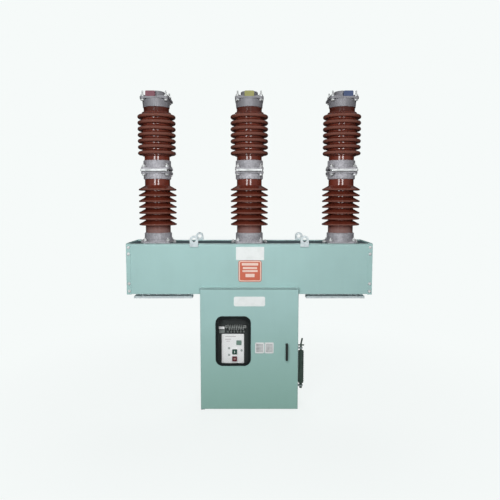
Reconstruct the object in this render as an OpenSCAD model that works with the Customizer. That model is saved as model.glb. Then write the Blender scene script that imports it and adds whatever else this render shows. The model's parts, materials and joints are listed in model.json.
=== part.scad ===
// Outdoor vacuum circuit breaker: three porcelain poles on a common trough, with the
// mechanism cabinet hung below it. Millimetres, +Z up, X along the row of poles, the
// front faces -Y. The origin is on the floor, under the axis of the middle pole.

/* [Trough] */
// Distance from an outer pole's axis to the end of the trough
trough_overhang = 190; // [150:5:260]
// Height of the trough
trough_h = 350; // [300:5:450]
// Depth of the trough over its front and rear walls
trough_d = 400; // [360:5:460]
// Thickness of the trough's sheet
trough_sheet = 5; // [3:0.5:8]
// Outside radius of the folded rims
rim_r = 14; // [10:1:20]
// Width of the lip that each rim folds inwards
rim_lip = 40; // [30:1:60]
// Thickness of the top plate that carries the poles
top_plate_t = 10; // [6:1:16]
// Width of the flange that each end cover folds over the trough
cover_lap = 30; // [20:1:45]
// Thickness of the end covers' sheet
cover_t = 3; // [2:0.5:5]

/* [Mounting rails] */
// Length of each rail below the trough
rail_l = 406; // [360:2:440]
// Distance from the end of the trough to a rail
rail_inset = 48; // [34:1:80]
// Height of the rails
rail_h = 30; // [26:1:60]
// Depth of the rails' flange
rail_w = 70; // [56:1:100]
// Thickness of the rails' flange
rail_flange_t = 14; // [6:1:16]
// Thickness of the rails' web
rail_web_t = 8; // [5:1:12]
// Diameter of the bolt holes in the rails
rail_hole_d = 18; // [12:1:22]
// Distance between the two bolt holes of a rail
rail_hole_pitch = 300; // [200:5:320]
// Distance from a rail's outer edge to its bolt holes
rail_hole_edge = 30; // [24:1:34]

/* [Lifting lugs] */
// Distance from an outer pole's axis to the lugs beside it
lug_off = 280; // [220:2:300]
// Width of a lug
lug_w = 58; // [50:1:70]
// Height from the trough's rim to the eye of a lug
lug_eye_z = 28; // [24:1:40]
// Length of the lug that lies on the wall
lug_lap = 21; // [20:1:90]
// Thickness of a lug
lug_t = 12; // [8:1:16]
// Diameter of the eye of a lug
lug_eye_d = 28; // [18:1:34]

/* [Poles] */
// Distance between neighbouring poles
phase_pitch = 660; // [600:5:690]
// Outside diameter of the round castings
cup_d = 195; // [190:1:195]
// Outside diameter of the top casting at its rim, from which it widens to its flange
top_rim_d = 186; // [184:1:195]
// Radius of the rounded rim of the castings
cup_rim_r = 7.5; // [2:0.5:8]
// Depth of the socket that holds the end of a porcelain
socket_depth = 34; // [20:1:40]
// Clearance between a porcelain and its socket
socket_gap = 0.4; // [0.2:0.1:1]
// Height of the base casting
base_h = 73; // [64:1:100]
// Side of the square bolting flanges
flange_w = 200; // [200:1:222]
// Thickness of the square bolting flanges
flange_t = 12; // [10:1:18]
// Radius of the corners of the square flanges
flange_corner_r = 20; // [8:1:24]
// Distance between the bolts of a square flange
flange_bolts = 162; // [150:1:170]
// Diameter of the bosses under the flange bolts
boss_d = 36; // [30:1:38]
// Height of the bosses over the flange
boss_h = 5; // [2:1:10]
// Height of the casting on top of the lower porcelain
lower_cap_h = 54; // [50:1:80]
// Height of the casting under the upper porcelain
upper_base_h = 67; // [50:1:80]
// Height of the casting on top of the upper porcelain
top_cap_h = 67; // [50:1:90]

/* [Lower porcelain] */
// Length of the lower porcelain that shows between its castings
lower_l = 379; // [366:1:460]
// Diameter of the lower porcelain between its sheds
lower_d = 178; // [150:1:184]
// Diameter over the sheds of the lower porcelain
lower_shed_d = 268; // [240:1:300]
// Number of sheds on the lower porcelain
lower_sheds = 7; // [3:1:7]
// Distance between the sheds of the lower porcelain
lower_pitch = 41.4; // [36:0.2:43]
// Height of the lowest shed's tip over the base casting
lower_first = 59; // [52:1:66]
// How far the tip of a thin shed droops below its root
lower_droop = 16; // [8:1:22]
// Thickness of a thin shed at its tip
lower_tip_t = 13; // [8:1:16]
// Thickness of a thin shed at its root
lower_root_t = 24; // [18:1:30]

/* [Upper porcelain] */
// Length of the upper porcelain that shows between its castings
upper_l = 366; // [360:1:450]
// Diameter of the plain ends of the upper porcelain
upper_neck_d = 178; // [150:1:184]
// Diameter of the upper porcelain between its sheds
upper_d = 205; // [190:1:220]
// Diameter over the sheds of the upper porcelain
upper_shed_d = 268; // [244:1:300]
// Number of sheds on the upper porcelain
upper_sheds = 7; // [3:1:7]
// Distance between the sheds of the upper porcelain
upper_pitch = 42.4; // [38:0.2:43]
// Height of the lowest shed's tip over the casting below it
upper_first = 50; // [46:1:58]
// How far the tip of a round shed droops below its root
upper_droop = 5; // [0:1:10]
// Thickness of a round shed at its tip
upper_tip_t = 25; // [18:1:28]
// Thickness of a round shed at its root
upper_root_t = 31; // [26:1:34]

/* [Terminals] */
// Thickness of the terminal plates
terminal_t = 14; // [10:1:20]
// Width of the lower terminal plates
lower_terminal_w = 186; // [160:1:220]
// Width of the lower terminal plates between the flange bolts
lower_neck_w = 126; // [110:1:134]
// Gap between a lower terminal plate's broad end and the flanges behind it
lower_tongue_gap = 2; // [1:0.5:4]
// Reach of the lower terminal plates in front of the pole's axis
lower_reach = 145; // [140:1:190]
// Width of the top terminal plates
top_terminal_w = 184; // [170:1:230]
// Reach of the top terminal plates behind the pole's axis
top_reach = 182; // [140:1:190]
// Reach of a lower terminal plate behind the pole's axis
lower_back = 98; // [90:1:110]
// Reach of a top terminal plate in front of the pole's axis
top_front = 62; // [50:1:64]
// Diameter of the round pad on a top terminal plate
pad_d = 122; // [90:1:122]
// Height of the round pad on a top terminal plate
pad_h = 32; // [15:1:40]
// Radius of the pad's rounded edge
pad_r = 8; // [3:1:14]
// Radius of the terminal plates' corners
terminal_r = 8; // [3:1:14]
// Diameter of the holes for a conductor clamp
terminal_hole_d = 14; // [10:0.5:18]
// Distance between the two holes for a conductor clamp
terminal_hole_pitch = 92; // [50:1:120]
// Distance from the holes to the end of the plate
terminal_hole_edge = 20; // [14:1:24]
// Width of the coloured phase covers
phase_cover_w = 66; // [50:1:90]
// Height of the coloured phase covers
phase_cover_h = 38; // [30:1:60]
// Depth of the coloured phase covers, front to back
phase_cover_t = 32; // [20:1:33]
// Radius of the corners of the phase covers
phase_cover_r = 7; // [3:1:12]
// Distance from the front of a pole's flange to its phase cover
phase_cover_inset = 4; // [2:0.5:4.5]
// How far the outer poles' phase covers stand away from the middle pole
phase_cover_off = 26; // [0:1:28]

/* [Cabinet] */
// Height of the cabinet, from the floor to the underside of the trough
cabinet_h = 820; // [780:5:1000]
// Width of the cabinet's body
cabinet_w = 652; // [640:2:660]
// Thickness of the cabinet's sheet
cabinet_sheet = 4; // [2:0.5:6]
// Width of the frame around the cabinet's mouth
frame_w = 28; // [20:1:40]
// Width of the rubber door seal
seal_w = 12; // [8:1:16]
// Gap between the cabinet's frame and the closed door
seal_t = 8; // [8:0.5:11]

/* [Door] */
// How far the door laps over each side of the cabinet
door_side = 14; // [10:1:20]
// Depth of the door's folded pan
door_t = 24; // [18:1:32]
// Thickness of the door's sheet
door_sheet = 3; // [2:0.5:4]
// Outside radius of the door's upright bends
door_bend_r = 5; // [4:0.5:7]
// Width of the door's folded inner lip
door_lip = 48; // [40:1:60]
// Height of the door's lower edge over the floor
door_floor_gap = 8; // [6:1:20]
// How far the door laps over the front of the trough
door_lap = 38; // [20:1:60]
// Reach of the drip strip above the door
hood_reach = 38; // [36:1:60]
// Height of the drip strip's leaf on the trough
hood_h = 26; // [15:1:40]
// Gap between the door and the drip strip
hood_gap = 6; // [5:1:12]
// Thickness of the drip strip
hood_t = 3; // [2:0.5:4]

/* [Window] */
// Middle of the window across the door
window_x = -112; // [-140:1:-80]
// Middle of the window over the floor
window_z = 495; // [440:1:520]
// Width of the window opening
window_w = 233; // [180:1:270]
// Height of the window opening
window_h = 339; // [260:1:380]
// Radius of the window's corners
window_r = 42; // [30:1:60]
// Width of the rubber lip around the window
gasket_lip = 6; // [5:1:12]
// How far the rubber stands proud of the sheet, on each side
gasket_proud = 4; // [2:0.5:6]
// Thickness of the window glass
glass_t = 5; // [3:0.5:6]
// Depth of the groove that holds the glass
glass_groove = 5; // [4:1:9]
// Clearance of the glass and the rubber in their seats
window_gap = 0.3; // [0.2:0.1:0.6]

/* [Hinges] */
// Diameter of the pivot pins
pivot_d = 8; // [6:0.5:9]
// Clearance of the pivot pins in their bushings
pivot_gap = 0.3; // [0.2:0.05:0.5]
// Length of a pivot pin inside the door
pivot_l = 30; // [20:1:50]
// Distance from the door's left edge to the axis of the pivots
pivot_edge = 9; // [8:0.5:9.5]
// Wall of a bushing block beside its pin
bush_wall = 4; // [3:0.5:6]
// Thickness of the pivot brackets
bracket_t = 3; // [2:0.5:4]
// Gap between a pivot bracket and the door's edge
bracket_gap = 3; // [2:0.5:3.5]
// Width of the pivot brackets
bracket_w = 26; // [22:1:28]
// Height of the lower bracket's leaf on the frame
bracket_leaf_h = 30; // [20:1:60]

/* [Door handle] */
// Distance from the door's right edge to the handle's pivot
handle_edge = 80; // [60:1:100]
// Height of the handle's pivot over the floor
handle_z = 471; // [420:1:520]
// Length of the lever, from its pivot to its tip
handle_l = 110; // [80:1:140]
// Width of the lever
handle_w = 15; // [12:1:22]
// Thickness of the lever
handle_t = 12; // [8:1:16]
// Diameter of the round boss behind the lever
handle_boss_d = 18; // [16:1:40]
// Height of the round boss behind the lever
handle_boss_h = 14; // [10:1:24]
// Diameter of the handle's shaft
handle_shaft_d = 12; // [8:0.5:16]
// Clearance of the handle's shaft in the door
handle_gap = 0.3; // [0.2:0.05:0.5]

/* [Mechanism] */
// Distance from the cabinet's left side to the mechanism housing
mech_side = 30; // [30:1:46]
// Right edge of the mechanism housing
mech_right = 120; // [90:1:160]
// Lower face of the mechanism housing
mech_low_z = 150; // [100:1:180]
// Distance from the top of the cabinet to the mechanism housing
mech_head = 80; // [40:1:100]
// Distance from the cabinet's mouth to the front of the mechanism
mech_setback = 46; // [40:1:60]
// Thickness of the front plate of the mechanism
mech_plate_t = 6; // [4:0.5:10]
// Margin of the front plate around the housing
mech_plate_margin = 10; // [6:1:14]
// Middle of the control plate, across the cabinet
control_x = -117; // [-125:1:-105]
// Middle of the control plate over the floor
control_z = 419; // [410:1:430]
// Width of the control plate
control_w = 158; // [150:1:180]
// Height of the control plate
control_h = 214; // [200:1:240]
// Thickness of the control plate
control_t = 3; // [2:0.5:5]
// Radius of the control plate's corners
control_r = 4; // [2:0.5:8]
// Place of both push-buttons across the cabinet
button_x = -104; // [-112:1:-96]
// Height of the closing button over the floor
on_button_z = 400; // [394:1:406]
// Height of the opening button over the floor
off_button_z = 349; // [343:1:352]
// Side of the square push-buttons
button_w = 34; // [26:1:38]
// Radius of the push-buttons' corners
button_r = 5; // [2:0.5:8]
// Height of a push-button over its stroke
button_h = 10; // [6:1:14]
// Stroke of a push-button
button_stroke = 5; // [3:0.5:8]
// Width of the raised ring around a push-button
bezel_w = 4; // [2:0.5:5]
// Clearance between a push-button and its ring
button_gap = 0.5; // [0.3:0.1:1]
// Diameter of a push-button's stem
stem_d = 12; // [8:0.5:16]
// Length of a push-button's stem in the mechanism
stem_l = 24; // [16:1:40]
// Clearance of a push-button's stem in its hole
stem_gap = 0.3; // [0.2:0.05:0.5]
// Size of the position indicator: width, height and thickness
indicator_size = [36, 33, 5];
// Middle of the position indicator, across and up
indicator_at = [-74, 463];
// Size of the operations counter: width, height and thickness
counter_size = [38, 24, 12];
// Middle of the operations counter, across and up
counter_at = [-194, 545];

/* [Charging handle] */
// Height of the lower end of the stowed grip over the floor
crank_low_z = 121; // [100:1:200]
// Length of the grip
crank_grip_l = 242; // [180:1:280]
// Diameter of the grip
crank_grip_d = 40; // [28:1:44]
// Diameter of the rod
crank_rod_d = 14; // [10:1:18]
// Length of the rod above the grip
crank_rod_l = 94; // [70:1:130]
// Lean of the rod's thin tip, away from the cabinet, in degrees
crank_lean = 12; // [0:1:16]
// Diameter of the rod's thin tip
crank_tip_d = 12; // [8:0.5:12]
// Height of the cross bar over the top of the grip
crank_cross_z = 42; // [30:1:56]
// Length of the cross bar
crank_cross_l = 46; // [30:1:60]
// Diameter of the cross bar
crank_cross_d = 10; // [8:1:12]
// Length of the socket end below the grip
crank_foot_l = 41; // [25:1:60]
// Diameter of the socket end below the grip
crank_foot_d = 20; // [16:1:26]
// Distance from the cabinet's side to the axis of the handle
crank_off = 56; // [44:1:64]
// Distance of the handle behind the cabinet's mouth
crank_back = 190; // [120:5:260]
// Width of a clip that holds the handle
clip_w = 24; // [16:1:36]
// Thickness of a clip
clip_t = 5; // [3:0.5:7]
// Clearance of the handle in its clips
clip_gap = 0.3; // [0.2:0.1:0.6]

/* [Hidden] */
$fn = 64;
POLES = ["left", "centre", "right"];
POLE_PIECES = ["base_casting", "lower_insulator", "lower_cap", "lower_terminal", "upper_base",
    "upper_insulator", "top_cap", "top_terminal", "phase_cover"];

// Overshoot of a cutting tool past the face that it cuts
cut = 1;

// Steps of a shed's round tip, and of a fillet
tip_steps = 8;
bend_steps = 4;

// Largest fillet at the root of a shed, and the straight land that stays between two fillets
shed_fillet = 3;
least_land = 0.4;

// Height of the round step between a porcelain's neck and its barrel
neck_bend = 4;

// Fillet between a casting's cup and its flange
cup_fillet = 2.5;

// How deep the charging handle's thin tip stands in its rod
crank_root = 2;

// Colours of the finishes
paint = "#a9bfba";
paint_dark = "#4a5450";
galvanised = "#b9bdbd";
casting_grey = "#8f9494";
tinned = "#e4e6e6";
porcelain = "#5a2a1e";
rubber = "#1c1d1e";
mech_black = "#2a2c2e";
plate_white = "#eceeee";
phase_colours = ["#a8303a", "#d9b52c", "#3a5fa0"];

// Heights of the trough
trough_z = cabinet_h;
rim_z = trough_z + trough_h;
top_z = rim_z - trough_sheet;

// Length of the trough, and its inside
trough_l = 2 * (phase_pitch + trough_overhang);
trough_in_d = trough_d - 2 * trough_sheet;
trough_in_l = trough_l - 2 * cover_t;
top_plate_d = trough_d - 2 * rim_r;

// Heights of a pole, from the top plate up
lower_z = top_z + base_h;
lower_cap_z = lower_z + lower_l;
lower_terminal_z = lower_cap_z + lower_cap_h;
upper_base_z = lower_terminal_z + terminal_t;
upper_z = upper_base_z + upper_base_h;
top_cap_z = upper_z + upper_l;
top_terminal_z = top_cap_z + top_cap_h;
pad_z = top_terminal_z + terminal_t;

// Cabinet and door, front to back: the cabinet is as deep as the trough that the door laps over
cabinet_d = trough_d;
mouth_y = -cabinet_d / 2;
door_w = cabinet_w + 2 * door_side;
handle_x = door_w / 2 - handle_edge;
door_back_y = mouth_y - seal_t;
door_front_y = door_back_y - door_t;
door_z = door_floor_gap;
door_h = cabinet_h + door_lap - door_floor_gap;

// Pivot axis of the door, inside its folded pan
hinge_x = -door_w / 2 + pivot_edge;
hinge_y = door_back_y - door_t / 2;
door_top_z = door_z + door_h;
hood_z = door_top_z + hood_gap;

// Mechanism, across and front to back
mech_left = mech_side - cabinet_w / 2;
mech_high_z = cabinet_h - mech_head;
mech_y = mouth_y + mech_setback;
control_y = mech_y - control_t;
button_y = control_y - button_stroke - cut;

// Middle of the rails, and their holes
rail_start = trough_l / 2 - rail_inset - rail_l;
rail_mid_x = rail_start + rail_l / 2;
rail_hole_y = trough_d / 2 - rail_hole_edge;

// Lifting lugs
lug_x = phase_pitch - lug_off;

// Stowed charging handle
crank_x = cabinet_w / 2 + crank_off;
crank_y = mouth_y + crank_back;
crank_top_z = crank_low_z + crank_grip_l;

function pole_x(i) = (i - 1) * phase_pitch;

// Rectangle with round corners, about its middle
module rounded_rect(w, h, r) {
    square([w - 2 * r, h], center = true);
    square([w, h - 2 * r], center = true);
    for (sx = [-1, 1], sy = [-1, 1])
        translate([sx * (w / 2 - r), sy * (h / 2 - r)])
            circle(r);
}

// Upright plate across the cabinet: its outline lies in X and Z, its front face is at y
module upright(x, y, z, t) {
    translate([x, y + t, z])
        rotate([90, 0, 0])
            linear_extrude(t)
                children();
}

// Cylinder that runs towards +Y from its start
module rod_y(d, l) {
    rotate([-90, 0, 0])
        cylinder(d = d, h = l);
}

// Cup casting on a square flange, with bolt bosses at its corners and the socket of a
// porcelain in its upper face
module cup_casting(h, bore_d, rim_d) {
    lip_r = rim_d / 2;
    foot_r = cup_d / 2;
    round_r = min(cup_rim_r, lip_r - bore_d / 2 - socket_gap - least_land);
    difference() {
        union() {
            linear_extrude(flange_t)
                rounded_rect(flange_w, flange_w, flange_corner_r);
            rotate_extrude()
                polygon(concat(
                    [[0, 0], [foot_r + cup_fillet, 0], [foot_r + cup_fillet, flange_t]],
                    bend([foot_r + cup_fillet, flange_t], [foot_r, flange_t], [foot_r, flange_t + cup_fillet]),
                    arc([lip_r - round_r, h - round_r], round_r, 0, 90),
                    [[0, h]]));
            for (sx = [-1, 1], sy = [-1, 1])
                translate([sx * flange_bolts / 2, sy * flange_bolts / 2, 0])
                    cylinder(d = boss_d, h = flange_t + boss_h);
        }
        translate([0, 0, h - socket_depth])
            cylinder(d = bore_d + 2 * socket_gap, h = socket_depth + cut);
    }
}

// Points of an arc about a middle, from one angle to another
function arc(middle, r, from, to) =
    [for (k = [0 : tip_steps]) let (a = from + (to - from) * k / tip_steps)
        middle + r * [cos(a), sin(a)]];

// Points of a round bend that leaves p towards the corner and arrives at q
function bend(p, corner, q) =
    [for (k = [0 : bend_steps]) let (t = k / bend_steps)
        (1 - t) * (1 - t) * p + 2 * t * (1 - t) * corner + t * t * q];

// Point at a distance from a towards b
function towards(a, b, distance) = a + distance * (b - a) / norm(b - a);

// Outline of one shed, upwards: a fillet, the underside, a round tip, the top and a fillet
function shed_outline(core_r, tip_r, tip_t, root_t, droop, fillet, z) =
    let (nose = tip_r - tip_t / 2,
         low = [core_r, z + droop - root_t / 2],
         high = [core_r, z + droop + root_t / 2])
    concat(
        bend(low - [0, fillet], low, towards(low, [nose, z - tip_t / 2], fillet)),
        arc([nose, z], tip_t / 2, -90, 90),
        bend(towards(high, [nose, z + tip_t / 2], fillet), high, high + [0, fillet]));

// Lower porcelain: a straight barrel with thin drooping sheds
module lower_porcelain() {
    r = lower_d / 2;
    fillet = min(shed_fillet, (lower_pitch - lower_root_t) / 2 - least_land);
    rotate_extrude()
        polygon(concat(
            [[0, -socket_depth], [r, -socket_depth]],
            [for (i = [0 : lower_sheds - 1])
                each shed_outline(r, lower_shed_d / 2, lower_tip_t, lower_root_t, lower_droop,
                                  fillet, lower_first + i * lower_pitch)],
            [[r, lower_l + socket_depth], [0, lower_l + socket_depth]]));
}

// Upper porcelain: a thicker barrel between plain necks, with fat round sheds
module upper_porcelain() {
    neck_r = upper_neck_d / 2;
    r = upper_d / 2;
    mid_r = (neck_r + r) / 2;
    fillet = min(shed_fillet, (upper_pitch - upper_root_t) / 2 - least_land);
    first_z = upper_first + upper_droop;
    last_z = first_z + (upper_sheds - 1) * upper_pitch;
    low = first_z - upper_pitch / 2 - neck_bend;
    high = last_z + upper_pitch / 2 + neck_bend;
    rotate_extrude()
        polygon(concat(
            [[0, -socket_depth], [neck_r, -socket_depth]],
            bend([neck_r, low - neck_bend], [neck_r, low], [mid_r, low]),
            bend([mid_r, low], [r, low], [r, low + neck_bend]),
            [for (i = [0 : upper_sheds - 1])
                each shed_outline(r, upper_shed_d / 2, upper_tip_t, upper_root_t, upper_droop,
                                  fillet, upper_first + i * upper_pitch)],
            bend([r, high - neck_bend], [r, high], [mid_r, high]),
            bend([mid_r, high], [neck_r, high], [neck_r, high + neck_bend]),
            [[neck_r, upper_l + socket_depth], [0, upper_l + socket_depth]]));
}

// Flat terminal plate with two clamp holes near its broad end, and a neck between the flanges
module terminal_plate(w, neck_w, reach, back) {
    hole_y = reach - terminal_hole_edge;
    tongue_y = flange_w / 2 + lower_tongue_gap;
    difference() {
        linear_extrude(terminal_t) {
            translate([0, (reach + tongue_y) / 2])
                rounded_rect(w, reach - tongue_y, terminal_r);
            translate([0, (reach - back) / 2])
                rounded_rect(neck_w, reach + back, terminal_r);
        }
        for (s = [-1, 1])
            translate([s * terminal_hole_pitch / 2, hole_y, -cut])
                cylinder(d = terminal_hole_d, h = terminal_t + 2 * cut);
    }
}

module base_casting(i) {
    color(casting_grey)
        translate([pole_x(i), 0, top_z])
            cup_casting(base_h, lower_d, cup_d);
}

module lower_insulator(i) {
    color(porcelain)
        translate([pole_x(i), 0, lower_z])
            lower_porcelain();
}

module lower_cap(i) {
    color(casting_grey)
        translate([pole_x(i), 0, lower_terminal_z])
            mirror([0, 0, 1])
                cup_casting(lower_cap_h, lower_d, cup_d);
}

module lower_terminal(i) {
    color(tinned)
        translate([pole_x(i), 0, lower_terminal_z])
            mirror([0, 1, 0])
                terminal_plate(lower_terminal_w, lower_neck_w, lower_reach, lower_back);
}

module upper_base(i) {
    color(casting_grey)
        translate([pole_x(i), 0, upper_base_z])
            cup_casting(upper_base_h, upper_neck_d, cup_d);
}

module upper_insulator(i) {
    color(porcelain)
        translate([pole_x(i), 0, upper_z])
            upper_porcelain();
}

module top_cap(i) {
    color(casting_grey)
        translate([pole_x(i), 0, top_terminal_z])
            mirror([0, 0, 1])
                cup_casting(top_cap_h, upper_neck_d, top_rim_d);
}

// Plate that reaches back from the top of a pole, with a round pad over the pole's axis
module top_terminal(i) {
    color(casting_grey) {
        translate([pole_x(i), 0, top_terminal_z])
            terminal_plate(top_terminal_w, top_terminal_w, top_reach, top_front);
        translate([pole_x(i), 0, pad_z])
            rotate_extrude()
                polygon(concat(
                    [[0, 0], [pad_d / 2, 0]],
                    arc([pad_d / 2 - pad_r, pad_h - pad_r], pad_r, 0, 90),
                    [[0, pad_h]]));
    }
}

// Coloured block at the front of a pole's top flange
module phase_cover(i) {
    color(phase_colours[i])
        upright(pole_x(i) + (i - 1) * phase_cover_off, -flange_w / 2 + phase_cover_inset,
                top_terminal_z + phase_cover_h / 2, phase_cover_t)
            rounded_rect(phase_cover_w, phase_cover_h, phase_cover_r);
}

// Extrusion along X of an outline that lies in Y and Z
module along_x(x, l) {
    translate([x, 0, 0])
        rotate([90, 0, 90])
            linear_extrude(l)
                children();
}

// Front wall: an upright sheet whose rim folds inwards in a round bend
module trough_wall() {
    middle = [rim_r - trough_d / 2, rim_z - rim_r];
    outer_y = -trough_d / 2;
    inner_y = outer_y + trough_sheet;
    along_x(-trough_in_l / 2, trough_in_l)
        polygon(concat(
            [[inner_y, trough_z], [outer_y, trough_z]],
            arc(middle, rim_r, 180, 90),
            [[outer_y + rim_lip, rim_z], [outer_y + rim_lip, rim_z - trough_sheet]],
            arc(middle, rim_r - trough_sheet, 90, 180)));
}

module trough_front() {
    color(paint)
        trough_wall();
}

module trough_rear() {
    color(paint)
        mirror([0, 1, 0])
            trough_wall();
}

module trough_floor() {
    color(paint)
        translate([-trough_in_l / 2, -trough_in_d / 2, trough_z])
            cube([trough_in_l, trough_in_d, trough_sheet]);
}

module trough_top_plate() {
    color(paint_dark)
        translate([-trough_in_l / 2, -top_plate_d / 2, top_z - top_plate_t])
            cube([trough_in_l, top_plate_d, top_plate_t]);
}

// Outline of the trough's end, grown by some amount on every side
module end_outline(grow) {
    half = trough_d / 2;
    polygon(concat(
        [[-half - grow, trough_z - grow], [half + grow, trough_z - grow]],
        arc([half - rim_r, rim_z - rim_r], rim_r + grow, 0, 90),
        arc([rim_r - half, rim_z - rim_r], rim_r + grow, 90, 180)));
}

// End cover: a pan that slips over the end of the trough and is open above the top plate,
// here for the right-hand end
module end_cover() {
    start = trough_l / 2 - cover_lap;
    difference() {
        along_x(start, cover_lap)
            end_outline(cover_t);
        along_x(start - cut, cover_lap - cover_t + cut)
            end_outline(0);
        translate([start - cut, rim_r - trough_d / 2, rim_z - cut])
            cube([cover_lap - cover_t + cut, trough_d - 2 * rim_r, cover_t + 2 * cut]);
    }
}

module trough_end_right() {
    color(paint)
        end_cover();
}

module trough_end_left() {
    color(paint)
        mirror([1, 0, 0])
            end_cover();
}

// One angle rail under the front edge of the trough, on the right-hand side
module angle_rail() {
    difference() {
        translate([rail_start, -trough_d / 2, trough_z - rail_h]) {
            cube([rail_l, rail_w, rail_flange_t]);
            translate([0, rail_w - rail_web_t, 0])
                cube([rail_l, rail_web_t, rail_h]);
        }
        for (s = [-1, 1])
            translate([rail_mid_x + s * rail_hole_pitch / 2, -rail_hole_y, trough_z - rail_h - cut])
                cylinder(d = rail_hole_d, h = rail_flange_t + 2 * cut);
    }
}

module mounting_rails() {
    color(galvanised)
        for (mx = [0, 1], my = [0, 1])
            mirror([mx, 0, 0])
                mirror([0, my, 0])
                    angle_rail();
}

// Flat eye plate on the outside of the front wall, on the right-hand side
module lifting_lug() {
    upright(lug_x, -trough_d / 2 - lug_t, rim_z + lug_eye_z, lug_t)
        difference() {
            union() {
                circle(d = lug_w);
                translate([-lug_w / 2, -lug_eye_z - lug_lap])
                    square([lug_w, lug_eye_z + lug_lap]);
            }
            circle(d = lug_eye_d);
        }
}

module lifting_lugs() {
    color(galvanised)
        for (mx = [0, 1], my = [0, 1])
            mirror([mx, 0, 0])
                mirror([0, my, 0])
                    lifting_lug();
}

// Folded strip above the door that sheds rain clear of it
module drip_strip() {
    color(paint)
        translate([-door_w / 2, -trough_d / 2, hood_z]) {
            translate([0, -hood_reach, 0])
                cube([door_w, hood_reach, hood_t]);
            translate([0, -hood_t, 0])
                cube([door_w, hood_t, hood_h]);
        }
}

// One side wall of the cabinet, on the right-hand side
module cabinet_side() {
    translate([cabinet_w / 2 - cabinet_sheet, mouth_y, 0])
        cube([cabinet_sheet, cabinet_d, cabinet_h]);
}

module cabinet_side_right() {
    color(paint)
        cabinet_side();
}

module cabinet_side_left() {
    color(paint)
        mirror([1, 0, 0])
            cabinet_side();
}

// Inside width of the cabinet
cabinet_in_w = cabinet_w - 2 * cabinet_sheet;

module cabinet_back() {
    color(paint)
        translate([-cabinet_in_w / 2, cabinet_d / 2 - cabinet_sheet, 0])
            cube([cabinet_in_w, cabinet_sheet, cabinet_h]);
}

// Level sheet between the sides, the back and the frame
module cabinet_level(z) {
    translate([-cabinet_in_w / 2, mouth_y + cabinet_sheet, z])
        cube([cabinet_in_w, cabinet_d - 2 * cabinet_sheet, cabinet_sheet]);
}

module cabinet_roof() {
    color(paint)
        cabinet_level(cabinet_h - cabinet_sheet);
}

module cabinet_floor() {
    color(paint)
        cabinet_level(0);
}

module door_frame() {
    color(paint)
        upright(0, mouth_y, cabinet_h / 2, cabinet_sheet)
            difference() {
                square([cabinet_in_w, cabinet_h], center = true);
                square([cabinet_in_w - 2 * frame_w, cabinet_h - 2 * frame_w], center = true);
            }
}

module door_seal() {
    seal_out_w = cabinet_in_w - 2 * (frame_w - seal_w) + seal_w;
    seal_out_h = cabinet_h - 2 * (frame_w - seal_w) + seal_w;
    color(rubber)
        upright(0, mouth_y - seal_t + window_gap, cabinet_h / 2, seal_t - window_gap)
            difference() {
                square([seal_out_w, seal_out_h], center = true);
                square([seal_out_w - 2 * seal_w, seal_out_h - 2 * seal_w], center = true);
            }
}

// Fixed brackets of the hinges: a plate at each end of the door, with its pin
module hinge_brackets() {
    lower_z0 = door_z - bracket_gap - bracket_t;
    upper_z0 = hood_z - bracket_t;
    plate_y = door_front_y + door_sheet;
    color(galvanised) {
        translate([-door_w / 2, plate_y, lower_z0])
            cube([bracket_w, mouth_y - plate_y, bracket_t]);
        translate([-cabinet_w / 2, mouth_y - bracket_t, lower_z0])
            cube([bracket_w + (cabinet_w - door_w) / 2, bracket_t, bracket_leaf_h]);
        translate([hinge_x, hinge_y, lower_z0])
            cylinder(d = pivot_d, h = door_z + pivot_l - lower_z0);
        translate([-door_w / 2, plate_y, upper_z0])
            cube([bracket_w, -trough_d / 2 - plate_y, bracket_t]);
        translate([hinge_x, hinge_y, door_top_z - pivot_l])
            cylinder(d = pivot_d, h = hood_z - door_top_z + pivot_l);
    }
}

// Bushing blocks in the corners of the door's pan
module hinge_bushings() {
    block_x = -door_w / 2 + door_sheet;
    block_w = pivot_edge - door_sheet + pivot_d / 2 + bush_wall;
    block_l = pivot_l - door_sheet;
    color(galvanised)
        for (z = [door_z + door_sheet, door_top_z - pivot_l])
            difference() {
                translate([block_x, door_front_y + door_sheet, z])
                    cube([block_w, door_t - 2 * door_sheet, block_l]);
                translate([hinge_x, hinge_y, z - cut])
                    cylinder(d = pivot_d + 2 * pivot_gap, h = block_l + 2 * cut);
            }
}

// Outline of the window opening, grown by some amount on every side
module window_outline(grow) {
    rounded_rect(window_w + 2 * grow, window_h + 2 * grow, window_r + grow);
}

// Folded pan with an inner lip, the window opening and the hole for the handle's shaft
module cabinet_door() {
    color(paint)
        difference() {
            translate([0, 0, door_z])
                linear_extrude(door_h)
                    polygon(concat(
                        [[door_w / 2, door_back_y], [-door_w / 2, door_back_y]],
                        arc([door_bend_r - door_w / 2, door_front_y + door_bend_r], door_bend_r, 180, 270),
                        arc([door_w / 2 - door_bend_r, door_front_y + door_bend_r], door_bend_r, 270, 360)));
            translate([-door_w / 2 + door_sheet, door_front_y + door_sheet, door_z + door_sheet])
                cube([door_w - 2 * door_sheet, door_t - 2 * door_sheet, door_h - 2 * door_sheet]);
            translate([-door_w / 2 + door_lip, door_back_y - door_sheet - cut, door_z + door_lip])
                cube([door_w - 2 * door_lip, door_sheet + 2 * cut,
                      cabinet_h - door_z - 2 * door_lip]);
            for (z = [door_z, door_top_z - door_sheet])
                translate([hinge_x, hinge_y, z - cut])
                    cylinder(d = pivot_d + 2 * pivot_gap, h = door_sheet + 2 * cut);
            upright(window_x, door_front_y - cut, window_z, door_sheet + 2 * cut)
                window_outline(0);
            translate([handle_x, door_front_y - cut, handle_z])
                rod_y(handle_shaft_d + 2 * handle_gap, door_sheet + 2 * cut);
        }
}

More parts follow.
